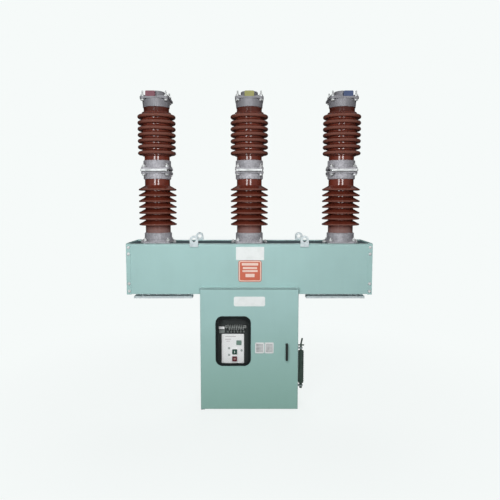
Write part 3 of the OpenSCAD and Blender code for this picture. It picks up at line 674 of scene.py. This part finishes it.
class Slabs:
    """A mesh of thin upright slabs that face -Y, each with its own finish."""

    LEAST_REACH = 1e-6

    def __init__(self, shop: Paintshop) -> None:
        """Starts an empty mesh.

        Args:
            shop: Where the finishes come from.
        """
        self.shop = shop
        self.form = bmesh.new()
        self.materials: list[Material] = []

    def _index(self, finish: Finish) -> int:
        """Gives the place of a finish in the mesh's slots."""
        material = self.shop.get(finish)
        if material not in self.materials:
            self.materials.append(material)
        return self.materials.index(material)

    def stack(self, frame: Frame, back: float, *layers: Layer) -> float:
        """Stacks the layers of a plate towards -Y.

        Args:
            frame: The plate's middle in X and Z, its width and its height.
            back: Where the plate's rear face stands in Y.
            layers: The layers, from the rear.

        Returns:
            Where the last layer's front face stands in Y.
        """
        x, z, width, height = frame
        for layer in layers:
            outline = rounded(x, z, width - layer.narrower, height - layer.lower, layer.corner, layer.steps)
            self._add(outline, back, layer)
            back -= layer.thick
        return back

    def _add(self, outline: Outline, back: float, layer: Layer) -> None:
        """Adds one slab.

        Args:
            outline: Its outline in X and Z.
            back: Where its rear face stands in Y.
            layer: Its thickness, its bevel and its finish.
        """
        index = self._index(layer.finish)
        thick, bevel = layer.thick, layer.bevel
        count = len(outline)
        rear = [self.form.verts.new((x, back, z)) for x, z in outline]
        shoulder = [self.form.verts.new((x, back - thick + bevel, z)) for x, z in outline]
        middle = (sum(x for x, _ in outline) / count, sum(z for _, z in outline) / count)
        front = []
        for x, z in outline:
            reach = math.hypot(x - middle[0], z - middle[1])
            shrink = 1.0 - bevel / max(reach, self.LEAST_REACH)
            front.append(self.form.verts.new((middle[0] + (x - middle[0]) * shrink, back - thick,
                                              middle[1] + (z - middle[1]) * shrink)))
        faces = [self.form.faces.new(list(reversed(rear))), self.form.faces.new(front)]
        for ring, following in ((rear, shoulder), (shoulder, front)):
            for here in range(count):
                after = (here + 1) % count
                corners = (ring[here], ring[after], following[after], following[here])
                faces.append(self.form.faces.new(corners))
        for face in faces:
            face.material_index = index

    def finished(self, name: str) -> bpy.types.Mesh:
        """Turns the slabs into a mesh.

        Args:
            name: The mesh's name.

        Returns:
            The mesh, with its faces pointing outwards.
        """
        bmesh.ops.recalc_face_normals(self.form, faces=self.form.faces[:])
        mesh = bpy.data.meshes.new(name)
        self.form.to_mesh(mesh)
        self.form.free()
        for material in self.materials:
            mesh.materials.append(material)
        return mesh


class HeadShape(Enum):
    """Number of sides of a fastener's head."""

    HEX = 6
    ROUND = 20


@dataclass(frozen=True)
class Fastener:
    """Sizes of one kind of fastener, in metres."""

    name: str
    shape: HeadShape
    head_radius: float
    head_height: float
    washer_radius: float
    washer_height: float
    stud_radius: float
    stud_height: float

    def sizes(self) -> dict[str, Any]:
        """Gives the sizes by the names of the tree's inputs."""
        return {"Sides": self.shape.value, "Head Radius": self.head_radius, "Head Height": self.head_height,
                "Washer Radius": self.washer_radius, "Washer Height": self.washer_height,
                "Stud Radius": self.stud_radius, "Stud Height": self.stud_height}


class RepeatTree(NodeMaker):
    """A Geometry Nodes tree with named inputs that sets one form on many points."""

    NAME = "repeat"
    INPUTS: tuple[str, ...] = ()
    FULL_TURN = 6.283
    WIRE_SIDES = 8

    def __init__(self) -> None:
        """Builds the tree."""
        super().__init__(bpy.data.node_groups.new(self.NAME, "GeometryNodeTree"))
        face = self.tree.interface
        face.new_socket("Geometry", in_out="INPUT", socket_type="NodeSocketGeometry")
        kinds = {"Sides": "NodeSocketInt", "Seed": "NodeSocketInt", "Finish": "NodeSocketMaterial"}
        self.sockets = {}
        for name in self.INPUTS + ("Seed", "Finish"):
            socket = face.new_socket(name, in_out="INPUT", socket_type=kinds.get(name, "NodeSocketFloat"))
            self.sockets[name] = socket.identifier
        face.new_socket("Geometry", in_out="OUTPUT", socket_type="NodeSocketGeometry")
        self.value = self.node("NodeGroupInput").outputs
        self._place(self._form())

    def _form(self) -> Socket:
        """Draws the form that repeats, and gives its socket."""
        raise NotImplementedError

    def _times(self, first: Any, second: Any, operation: str = "MULTIPLY") -> Socket:
        """Adds a Math node and gives its result."""
        return self.node("ShaderNodeMath", {"operation": operation}, {0: first, 1: second}).outputs[0]

    def _swept(self, path: bpy.types.Node, wire: Any) -> Socket:
        """Sweeps a round wire along a path.

        Args:
            path: The node that draws the path.
            wire: Radius of the wire.

        Returns:
            The wire's geometry.
        """
        ring = self.node("GeometryNodeCurvePrimitiveCircle", {"mode": "RADIUS"},
                         {"Resolution": self.WIRE_SIDES, "Radius": wire})
        tube = self.node("GeometryNodeCurveToMesh", None,
                         {"Curve": path.outputs[0], "Profile Curve": ring.outputs[0], "Fill Caps": True})
        return tube.outputs[0]

    def _place(self, form: Socket) -> None:
        """Sets the form on the points, along each point's axis, and ends the tree.

        Args:
            form: The form's socket.
        """
        axis = self.node("GeometryNodeInputNamedAttribute", {"data_type": "FLOAT_VECTOR"}, {"Name": "axis"})
        turn = self.node("FunctionNodeRandomValue", {"data_type": "FLOAT"},
                         {2: 0.0, 3: self.FULL_TURN, "Seed": self.value["Seed"]})
        spin = self.node("FunctionNodeAxisAngleToRotation", None, {"Axis": UP, "Angle": turn.outputs[1]})
        lean = self.node("FunctionNodeAlignRotationToVector", {"axis": "Z"}, {"Vector": axis.outputs[0]})
        both = self.node("FunctionNodeRotateRotation", {"rotation_space": "LOCAL"},
                         {0: lean.outputs[0], 1: spin.outputs[0]})
        placed = self.node("GeometryNodeInstanceOnPoints", None,
                           {"Points": self.value["Geometry"], "Instance": form, "Rotation": both.outputs[0]})
        real = self.node("GeometryNodeRealizeInstances", None, {0: placed.outputs[0]})
        coat = self.node("GeometryNodeSetMaterial", None,
                         {"Geometry": real.outputs[0], "Material": self.value["Finish"]})
        self.node("NodeGroupOutput", None, {0: coat.outputs[0]})

    def set_out(self, name: str, sizes: dict[str, Any], spots: Sequence[Spot],
                finish: Material, seed: int) -> bpy.types.Mesh:
        """Sets the form on its spots.

        Args:
            name: The mesh's name.
            sizes: The form's sizes by input name.
            spots: Place and axis of each.
            finish: Their material.
            seed: Seed of their turns.

        Returns:
            A plain mesh of them all.
        """
        points = bpy.data.meshes.new(name + "_points")
        points.from_pydata([place for place, _ in spots], [], [])
        axes = points.attributes.new("axis", "FLOAT_VECTOR", "POINT")
        axes.data.foreach_set("vector", [part for _, axis in spots for part in axis])
        carrier = linked(name + "_carrier", points)
        modifier = carrier.modifiers.new("repeat", "NODES")
        modifier.node_group = self.tree
        for label, value in {**sizes, "Seed": seed, "Finish": finish}.items():
            modifier[self.sockets[label]] = value
        bpy.context.view_layer.update()
        graph = bpy.context.evaluated_depsgraph_get()
        mesh = bpy.data.meshes.new_from_object(carrier.evaluated_get(graph))
        mesh.name = name
        carrier.modifiers.remove(modifier)
        bpy.data.objects.remove(carrier)
        return mesh


class FastenerTree(RepeatTree):
    """Sets a washer, a chamfered head and a stud on every point."""

    NAME = "set_fasteners"
    INPUTS = ("Sides", "Head Radius", "Head Height", "Washer Radius", "Washer Height", "Stud Radius",
              "Stud Height")
    WALL, TAPER = 0.78, 0.82
    WASHER_SIDES, WASHER_TAPER = 24, 0.97
    STUD_SIDES, STUD_TAPER = 12, 0.8

    def _ring(self, sides: Any, low: Any, high: Any, height: Any, lift: Any) -> Socket:
        """Adds a frustum that stands at some height.

        Args:
            sides: Number of its sides.
            low: Radius of its foot.
            high: Radius of its top.
            height: Its height.
            lift: Where its foot stands.

        Returns:
            Its geometry's socket.
        """
        cone = self.node("GeometryNodeMeshCone", {"fill_type": "NGON"},
                         {"Vertices": sides, "Radius Top": high, "Radius Bottom": low, "Depth": height})
        place = self.node("ShaderNodeCombineXYZ", None, {"Z": lift})
        moved = self.node("GeometryNodeTransform", None,
                          {"Geometry": cone.outputs["Mesh"], "Translation": place.outputs[0]})
        return moved.outputs[0]

    def _form(self) -> Socket:
        """Joins the washer, the head with its chamfer and the stud."""
        value = self.value
        head, washer, stud = value["Head Radius"], value["Washer Radius"], value["Stud Radius"]
        tall, seat = value["Head Height"], value["Washer Height"]
        wall = self._times(tall, self.WALL)
        cap = self._times(tall, 1.0 - self.WALL)
        shoulder = self._times(seat, wall, "ADD")
        top = self._times(seat, tall, "ADD")
        parts = (
            self._ring(self.WASHER_SIDES, washer, self._times(washer, self.WASHER_TAPER), seat, 0.0),
            self._ring(value["Sides"], head, head, wall, seat),
            self._ring(value["Sides"], head, self._times(head, self.TAPER), cap, shoulder),
            self._ring(self.STUD_SIDES, stud, self._times(stud, self.STUD_TAPER), value["Stud Height"], top),
        )
        joined = self.node("GeometryNodeJoinGeometry")
        for part in parts:
            self.tree.links.new(part, joined.inputs[0])
        return joined.outputs[0]


class SpringTree(RepeatTree):
    """Winds a round-wire coil spring up from every point."""

    NAME = "wind_springs"
    INPUTS = ("Turns", "Coil Radius", "Length", "Wire Radius")
    TURN_STEPS = 18

    def _form(self) -> Socket:
        """Sweeps the wire along a spiral."""
        value = self.value
        path = self.node("GeometryNodeCurveSpiral", None,
                         {"Resolution": self.TURN_STEPS, "Rotations": value["Turns"],
                          "Start Radius": value["Coil Radius"], "End Radius": value["Coil Radius"],
                          "Height": value["Length"]})
        return self._swept(path, value["Wire Radius"])


class RibTree(RepeatTree):
    """Sets a round rib about the axis at every point."""

    NAME = "set_ribs"
    INPUTS = ("Ring Radius", "Wire Radius")
    RING_STEPS = 36

    def _form(self) -> Socket:
        """Sweeps the rib round a circle."""
        path = self.node("GeometryNodeCurvePrimitiveCircle", {"mode": "RADIUS"},
                         {"Resolution": self.RING_STEPS, "Radius": self.value["Ring Radius"]})
        return self._swept(path, self.value["Wire Radius"])


@dataclass(frozen=True)
class Kit:
    """The finishes, and the trees that set out what repeats."""

    shop: Paintshop
    fasteners: FastenerTree
    springs: SpringTree
    ribs: RibTree


@dataclass
class Dressing:
    """The small pieces of one sub-assembly."""

    kit: Kit

    def build(self) -> None:
        """Builds the pieces."""
        raise NotImplementedError

    def fasten(self, kind: Fastener, spots: Sequence[Spot], seed: int, finish: Finish = Finish.PLATED,
               body: Bodies = Bodies.BREAKER, slot: str = "galvanised") -> None:
        """Sets one kind of fastener on its spots.

        Args:
            kind: The fastener.
            spots: Place and axis of each.
            seed: Seed of their turns.
            finish: Their finish.
            body: The body that they ride on.
            slot: Not used.
        """
        name = kind.name + "s"
        coat = self.kit.shop.get(finish)
        hang(name, self.kit.fasteners.set_out(name, kind.sizes(), spots, coat, seed), body)

    def plate(self, name: str, frame: Frame, back: float, *layers: Layer,
              body: Bodies = Bodies.BREAKER) -> None:
        """Hangs one pale plate.

        Args:
            name: The piece's name.
            frame: Its middle in X and Z, its width and its height.
            back: Where its rear face stands in Y.
            layers: Its layers, from the rear.
            body: The body that it rides on.
        """
        slabs = Slabs(self.kit.shop)
        slabs.stack(frame, back, *layers)
        hang(name, slabs.finished(name), body)


@dataclass
class PoleBolting(Dressing):
    """Flange bolts of the three poles, with their washers and studs."""

    reach: float = 0.081
    pad_plate: float = 0.014
    deck_reach: float = 0.116
    boss: float = 0.017
    nut: Fastener = Fastener("flange_nut", HeadShape.HEX, 0.0135, 0.011, 0.0145, 0.0022, 0.0062, 0.009)
    stud: Fastener = Fastener("top_stud", HeadShape.HEX, 0.0135, 0.011, 0.0145, 0.0022, 0.0062, 0.026)
    head: Fastener = Fastener("flange_head", HeadShape.HEX, 0.0135, 0.009, 0.0145, 0.0022, 0.005, 0.001)
    sleeve: Fastener = Fastener("flange_sleeve", HeadShape.ROUND, 0.0130, 0.0100, 0.0150, 0.0020,
                                0.0145, 0.0018)
    first_seed: int = 3

    def build(self) -> None:
        """Sets the bolts of every flange."""
        nuts: list[Spot] = []
        studs: list[Spot] = []
        heads: list[Spot] = []
        sleeves: list[Spot] = []
        for pole in POLES:
            low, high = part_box(f"{pole}_base_casting")
            x = (low.x + high.x) / 2
            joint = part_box(f"{pole}_lower_cap")[1].z
            upper_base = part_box(f"{pole}_upper_base")[0].z
            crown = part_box(f"{pole}_top_cap")[1].z
            for side in (-1, 1):
                nuts.append(((x + side * self.deck_reach, 0.0, low.z), UP))
                for depth in (-1, 1):
                    spot = (x + side * self.reach, depth * self.reach)
                    lid = crown + self.pad_plate if depth > 0 else crown
                    nuts += [((*spot, flange + self.boss), UP) for flange in (low.z, upper_base)]
                    heads += [((*spot, flange - self.boss), DOWN) for flange in (joint, crown)]
                    sleeves.append(((*spot, joint), UP))
                    studs.append(((*spot, lid), UP))
        groups = ((self.nut, nuts), (self.stud, studs), (self.head, heads), (self.sleeve, sleeves))
        for seed, (kind, spots) in enumerate(groups, self.first_seed):
            self.fasten(kind, spots, seed)


@dataclass
class TroughDressing(Dressing):
    """Screws of the end covers, and the bare plates on the trough's front."""

    screw_inset: float = 0.017
    screw_drops: tuple[float, ...] = (0.025, 0.070, 0.277, 0.330)
    cover_screw: Fastener = Fastener("cover_screw", HeadShape.ROUND, 0.0092, 0.0064, 0.0112, 0.0016,
                                     0.003, 0.0004)
    screw_seed: int = 11
    white_plate: Plate = Plate(-0.092, 0.103, -0.113, -0.021)
    white: Layer = Layer(Finish.WHITE, 0.0025, 0.004)
    red_plate: Plate = Plate(-0.075, 0.085, -0.264, -0.115)
    red: tuple[Layer, ...] = (Layer(Finish.RED_PLATE, 0.0025, 0.016),
                              Layer(Finish.BORDER, 0.0004, 0.0125, 0.008, 0.008, 0.0002),
                              Layer(Finish.RED_PLATE, 0.0004, 0.008, 0.020, 0.020, 0.0002))
    # Each bar: lift from the middle, share of the width, height
    bars: tuple[tuple[float, float, float], ...] = ((0.048, 0.9, 0.018), (0.022, 0.78, 0.014),
                                                    (0.001, 0.84, 0.014), (-0.030, 0.5, 0.024))
    bar_margin: float = 0.034
    bar: Layer = Layer(Finish.BORDER, 0.0003, 0.003, bevel=0.0001)

    def build(self) -> None:
        """Sets the screws and hangs the plates."""
        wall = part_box("trough_front")
        front, rim = wall[0].y, wall[1].z
        screws: list[Spot] = []
        for end in ("left", "right"):
            low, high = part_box(f"trough_end_{end}")
            x = low.x + self.screw_inset if end == "left" else high.x - self.screw_inset
            for drop in self.screw_drops:
                screws += [((x, low.y, rim - drop), FRONT), ((x, high.y, rim - drop), BEHIND)]
        self.fasten(self.cover_screw, screws, self.screw_seed)
        self.plate("trough_plate", self.white_plate.frame(rim), front, self.white)
        frame = self.red_plate.frame(rim)
        red = Slabs(self.kit.shop)
        face = red.stack(frame, front, *self.red)
        x, z, width, _ = frame
        for lift, share, tall in self.bars:
            red.stack((x, z + lift, (width - self.bar_margin) * share, tall), face, self.bar)
        hang("red_plate", red.finished("red_plate"), Bodies.BREAKER)


@dataclass
class DoorDressing(Dressing):
    """Bare plates on the door, and the rivets of the rating plates."""

    white_plate: Plate = Plate(-0.107, 0.109, 0.740, 0.808)
    white: Layer = Layer(Finish.WHITE, 0.0018, 0.012)
    rating_plates: tuple[Plate, ...] = (Plate(0.041, 0.103, 0.408, 0.485), Plate(0.107, 0.169, 0.408, 0.485))
    silver: Layer = Layer(Finish.SILVER, 0.0018, 0.003)
    etched: Layer = Layer(Finish.ETCHED, 0.0003, 0.002, 0.014, 0.018, 0.0001)
    rows: int = 5
    row_margins: tuple[float, float] = (0.020, 0.026)
    row_height: float = 0.0018
    row: Layer = Layer(Finish.SILVER, 0.0002, 0.0004, bevel=0.0001, steps=2)
    rivet: Fastener = Fastener("plate_rivet", HeadShape.ROUND, 0.0028, 0.0016, 0.0030, 0.0004, 0.001, 0.0002)
    rivet_inset: float = 0.004
    rivet_seed: int = 21

    def build(self) -> None:
        """Hangs the plates and sets their rivets."""
        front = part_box("cabinet_door")[0].y
        self.plate("door_plate", self.white_plate.frame(), front, self.white, body=Bodies.DOOR)
        rating = Slabs(self.kit.shop)
        rivets: list[Spot] = []
        across, along = self.row_margins
        for plate in self.rating_plates:
            frame = plate.frame()
            face = rating.stack(frame, front, self.silver, self.etched)
            x, z, width, height = frame
            for row in range(self.rows):
                lift = (row - (self.rows - 1) / 2) * (height - along) / self.rows
                rating.stack((x, z + lift, width - across, self.row_height), face, self.row)
            reach, rise = width / 2 - self.rivet_inset, height / 2 - self.rivet_inset
            rivets += [((x + side * reach, front - self.silver.thick, z + level * rise), FRONT)
                       for side in (-1, 1) for level in (-1, 1)]
        hang("rating_plates", rating.finished("rating_plates"), Bodies.DOOR)
        self.fasten(self.rivet, rivets, self.rivet_seed, body=Bodies.DOOR)


@dataclass
class PanelDressing(Dressing):
    """Marks on the push-buttons, and the small fittings on the control plate."""

    plate_t: float = 0.003
    screw: Fastener = Fastener("panel_screw", HeadShape.ROUND, 0.0046, 0.0026, 0.0052, 0.0008, 0.0015, 0.0003)
    screw_inset: float = 0.010
    dot: Fastener = Fastener("panel_lamp", HeadShape.ROUND, 0.0070, 0.0030, 0.0085, 0.0012, 0.004, 0.0012)
    dot_side: float = 0.027
    dot_lifts: tuple[float, float] = (0.023, 0.026)
    right_dot: tuple[float, float] = (0.017, 0.007)
    seeds: tuple[int, int] = (31, 32)
    # Each line: drop from the top, indent from the left, length
    lines: tuple[tuple[float, float, float], ...] = ((0.018, 0.026, 0.076), (0.038, 0.024, 0.042),
                                                     (0.052, 0.034, 0.024))
    line_height: float = 0.0045
    line: Layer = Layer(Finish.PRINT, 0.0003, 0.001, bevel=0.0001)
    bar_size: tuple[float, float] = (0.0055, 0.017)
    bar: Layer = Layer(Finish.WHITE, 0.0012, 0.0015, bevel=0.0003)
    ring_size: tuple[float, float] = (0.0130, 0.0130)
    ring: tuple[Layer, Layer] = (Layer(Finish.BORDER, 0.0012, 0.0064, bevel=0.0003, steps=10),
                                 Layer(Finish.RED_BUTTON, 0.0002, 0.0042, 0.0045, 0.0045, 0.0001, 10))

    def build(self) -> None:
        """Hangs the marks and the lines, and sets the screws and the lamps."""
        on_x, on_z, front = self._button("on_button")
        self.plate("closing_mark", (on_x, on_z, *self.bar_size), front, self.bar, body=Bodies.CLOSING)
        off_x, off_z, front = self._button("off_button")
        self.plate("opening_mark", (off_x, off_z, *self.ring_size), front, *self.ring, body=Bodies.OPENING)
        low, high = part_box("control_plate")
        face = high.y - self.plate_t
        inset = self.screw_inset
        screws = [((x, face, z), FRONT)
                  for x in (low.x + inset, high.x - inset) for z in (low.z + inset, high.z - inset)]
        screw_seed, dot_seed = self.seeds
        self.fasten(self.screw, screws, screw_seed, Finish.CONTROL_WHITE)
        on_lift, off_lift = self.dot_lifts
        left = (low.x + high.x) / 2 - self.dot_side
        inset, lift = self.right_dot
        dots = [((left, face, on_z + on_lift), FRONT), ((left, face, off_z + off_lift), FRONT),
                ((high.x - inset, face, on_z + lift), FRONT)]
        self.fasten(self.dot, dots, dot_seed, Finish.LENS, slot="counter")
        lines = Slabs(self.kit.shop)
        for drop, indent, length in self.lines:
            frame = (low.x + indent + length / 2, high.z - drop, length, self.line_height)
            lines.stack(frame, face, self.line)
        hang("panel_lines", lines.finished("panel_lines"), Bodies.BREAKER)

    def _button(self, node: str) -> tuple[float, float, float]:
        """Gives a push-button's middle in X and Z, and where its front face stands in Y."""
        low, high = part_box(node)
        return (low.x + high.x) / 2, (low.z + high.z) / 2, low.y


@dataclass
class SpringDrive(Dressing):
    """What shows of the drive above the control plate: closing spring, its posts, pins and a bare label."""

    spring_start: tuple[float, float] = (-0.150, 0.577)
    spring_length: float = 0.112
    turns: float = 7.0
    coil: float = 0.0165
    wire: float = 0.0042
    post: Fastener = Fastener("spring_post", HeadShape.HEX, 0.0085, 0.020, 0.0110, 0.0020, 0.0042, 0.0040)
    post_gap: float = 0.010
    pin: Fastener = Fastener("drive_pin", HeadShape.ROUND, 0.0055, 0.012, 0.0070, 0.0015, 0.0030, 0.0015)
    pins: int = 6
    pin_drop: float = 0.034
    seeds: tuple[int, int, int] = (41, 42, 43)
    label_plate: Plate = Plate(-0.215, -0.176, 0.560, 0.579)
    label: Layer = Layer(Finish.CONTROL_WHITE, 0.001, 0.002, bevel=0.0003)

    def build(self) -> None:
        """Winds the spring and hangs its posts, the pins and the label."""
        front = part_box("mechanism_housing")[0].y
        spring_seed, post_seed, pin_seed = self.seeds
        x, z = self.spring_start
        sizes = {"Turns": self.turns, "Coil Radius": self.coil, "Length": self.spring_length,
                 "Wire Radius": self.wire}
        start = (x, front - self.coil - self.wire, z)
        steel = self.kit.shop.get(Finish.SPRING)
        spring = self.kit.springs.set_out("closing_spring", sizes, [(start, RIGHT)], steel, spring_seed)
        hang("closing_spring", spring, Bodies.BREAKER)
        posts = [((place, front, z), FRONT)
                 for place in (x - self.post_gap, x + self.spring_length + self.post_gap)]
        self.fasten(self.post, posts, post_seed, Finish.SPRING)
        step = self.spring_length / (self.pins - 1)
        pins = [((x + index * step, front, z - self.pin_drop), FRONT) for index in range(self.pins)]
        self.fasten(self.pin, pins, pin_seed, Finish.COUNTER)
        self.plate("drive_label", self.label_plate.frame(), front, self.label)


@dataclass
class CabinetDressing(Dressing):
    """Screws of the cabinet's back sheet, and the ribs of the stowed handle's grip."""

    screw: Fastener = Fastener("back_screw", HeadShape.HEX, 0.0072, 0.0050, 0.0100, 0.0014, 0.0030, 0.0008)
    inset: float = 0.022
    rows: int = 5
    grip_axis: tuple[float, float] = (0.382, -0.010)
    grip_span: tuple[float, float] = (0.121, 0.363)
    grip_radius: float = 0.020
    rib: float = 0.0022
    rib_pitch: float = 0.0165
    seeds: tuple[int, int] = (51, 52)

    def build(self) -> None:
        """Sets the screws and the ribs."""
        low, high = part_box("cabinet_back")
        left, right = low.x + self.inset, high.x - self.inset
        foot, head = low.z + self.inset, high.z - self.inset
        screws = [((x, high.y, foot + (head - foot) * row / (self.rows - 1)), BEHIND)
                  for x in (left, right) for row in range(self.rows)]
        screws += [((left + (right - left) * share, high.y, z), BEHIND)
                   for share in (1 / 3, 2 / 3) for z in (foot, head)]
        screw_seed, rib_seed = self.seeds
        self.fasten(self.screw, screws, screw_seed)
        start, end = self.grip_span
        count = int((end - start - self.rib_pitch) / self.rib_pitch) + 1
        first = (start + end - (count - 1) * self.rib_pitch) / 2
        ribs = [((*self.grip_axis, first + index * self.rib_pitch), UP) for index in range(count)]
        sizes = {"Ring Radius": self.grip_radius, "Wire Radius": self.rib}
        rubber = self.kit.shop.get(Finish.GRIP)
        hang("grip_ribs", self.kit.ribs.set_out("grip_ribs", sizes, ribs, rubber, rib_seed),
             Bodies.BREAKER)


@dataclass(frozen=True)
class Lamp:
    """One soft lamp of the studio."""

    name: str
    place: Point
    aim: Point
    width: float
    height: float
    power: float
    colour: tuple[float, float, float] = (1.0, 1.0, 1.0)
    mirrored: bool = True

    def hang(self) -> None:
        """Hangs the lamp and points it."""
        data = bpy.data.lights.new(self.name, "AREA")
        data.shape = "RECTANGLE"
        data.size, data.size_y = self.width, self.height
        data.energy = self.power
        data.color = self.colour
        lamp = linked(self.name, data)
        lamp.location = self.place
        lamp.rotation_euler = (Vector(self.aim) - Vector(self.place)).to_track_quat("-Z", "Y").to_euler()
        lamp.visible_camera = False
        lamp.visible_glossy = self.mirrored


@dataclass
class Studio:
    """Pale floor and surroundings, soft lamps, and the camera of the photograph."""

    pale: Rgba = srgb(246, 250, 249)
    bounce: Rgba = (0.42, 0.44, 0.44, 1.0)
    ambient: float = 0.08
    ahead: float = 0.4
    behind: float = 0.03
    overhead: float = 0.5
    floor_radius: float = 14.0
    floor_drop: float = 0.0005
    floor_sides: int = 96
    floor_shown: float = 0.88
    floor_fade: tuple[float, float] = (0.7, 2.6)
    floor_front: tuple[float, float] = (0.2, 1.1)
    sky_front: tuple[float, float] = (-0.1, 0.6)
    sky_top: tuple[float, float] = (0.35, 0.8)
    camera_place: Point = (0.0, -3.70, 1.452)
    camera_tilt: float = 84.7
    lens: float = 36.72
    sensor: float = 36.0
    shift_x: float = 0.0014
    lamps: tuple[Lamp, ...] = field(default_factory=lambda: (
        Lamp("left_softbox", (-1.6, -4.1, 2.0), (0.0, 0.0, 1.4), 0.9, 1.3, 55.0, (0.96, 0.99, 1.0)),
        Lamp("right_softbox", (0.95, -4.8, 2.0), (0.0, 0.0, 1.4), 0.9, 1.3, 58.0),
        Lamp("high_front", (-0.2, -2.7, 2.5), (0.0, 0.0, 1.3), 1.4, 0.8, 28.0, mirrored=False),
        Lamp("rear_fill", (0.4, 3.6, 4.4), (0.0, 0.0, 1.0), 2.6, 1.6, 130.0, mirrored=False),
        Lamp("left_fill", (-4.0, 2.6, 3.6), (0.0, 0.0, 1.0), 2.6, 2.2, 30.0, mirrored=False),
        Lamp("right_fill", (4.3, 1.5, 3.4), (0.0, 0.0, 1.0), 2.6, 2.2, 30.0, mirrored=False),
    ))

    def build(self) -> None:
        """Builds the studio."""
        self._world()
        self._floor()
        for lamp in self.lamps:
            lamp.hang()
        self._camera()
        bpy.context.scene.view_settings.view_transform = "Standard"

    def _rays(self, bench: Bench) -> tuple[Wire, Wire, Wire]:
        """Tells apart the rays that meet the surroundings.

        Args:
            bench: The tree that asks.

        Returns:
            Masks of the camera's rays, of rays through glass and of mirrored rays.
        """
        path = bench.node("ShaderNodeLightPath")
        camera = Wire(bench, path.outputs["Is Camera Ray"])
        through = Wire(bench, path.outputs["Is Transmission Ray"]) * (1.0 - camera)
        glossy = Wire(bench, path.outputs["Is Glossy Ray"]) * (1.0 - camera.most(through))
        return camera, through, glossy

    def _world(self) -> None:
        """Gives a pale surround to what is seen, pale fronts to what is mirrored, and an ambient light."""
        bench = Bench("surround", True)
        camera, through, glossy = self._rays(bench)
        _, y, z = bench.axes(bench.place)
        front = (0.0 - y).rise(*self.sky_front) * (self.ahead - self.behind)
        top = z.rise(*self.sky_top) * self.overhead
        shown = camera + through + glossy * (self.behind + front.most(top))
        light = shown + (1.0 - (camera + through + glossy)) * self.ambient
        back = bench.node("ShaderNodeBackground", None, {"Color": self.pale, "Strength": light})
        bench.node("ShaderNodeOutputWorld", None, {0: back.outputs[0]})
        bpy.context.scene.world = bench.owner

    def _floor(self) -> None:
        """Lays the floor, which keeps a soft shadow near the part and fades to the surround."""
        form = bmesh.new()
        bmesh.ops.create_circle(form, cap_ends=True, segments=self.floor_sides, radius=self.floor_radius)
        mesh = bpy.data.meshes.new("floor")
        form.to_mesh(mesh)
        form.free()
        floor = linked("floor", mesh)
        floor.location.z = -self.floor_drop
        bench = Bench("pale_floor")
        camera, through, glossy = self._rays(bench)
        x, y, _ = bench.axes(bench.place)
        away = ((x * x + y * y) ** 0.5).rise(*self.floor_fade)
        front = (0.0 - y).rise(*self.floor_front)
        share = camera * (self.floor_shown + (1.0 - self.floor_shown) * away) + through + glossy
        shown = camera + through + glossy * (self.behind + (self.ahead - self.behind) * front)
        tone = bench.mixed(camera, self.bounce, self.pale)
        matte = bench.node("ShaderNodeBsdfDiffuse", None, {"Color": tone})
        glow = bench.node("ShaderNodeEmission", None, {"Color": self.pale, "Strength": shown})
        mix = bench.node("ShaderNodeMixShader", None, {0: share, 1: matte.outputs[0], 2: glow.outputs[0]})
        bench.node("ShaderNodeOutputMaterial", None, {"Surface": mix.outputs[0]})
        mesh.materials.append(bench.owner)

    def _camera(self) -> None:
        """Sets up the camera of the photograph."""
        data = bpy.data.cameras.new("photo_camera")
        data.lens = self.lens
        data.sensor_width = self.sensor
        data.shift_x = self.shift_x
        camera = linked("photo_camera", data)
        camera.location = self.camera_place
        camera.rotation_euler = (math.radians(self.camera_tilt), 0.0, 0.0)
        bpy.context.scene.camera = camera


def main() -> None:
    """Loads the solids, dresses them, adds the small pieces and builds the studio."""
    logging.basicConfig(level=logging.INFO, format="%(name)s: %(message)s")
    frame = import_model()
    Studio().build()
    shop = Paintshop()
    shop.dress(frame["nodes"])
    kit = Kit(shop, FastenerTree(), SpringTree(), RibTree())
    for kind in (PoleBolting, TroughDressing, DoorDressing, PanelDressing, SpringDrive, CabinetDressing):
        kind(kit).build()


if __name__ == "__main__":
    main()
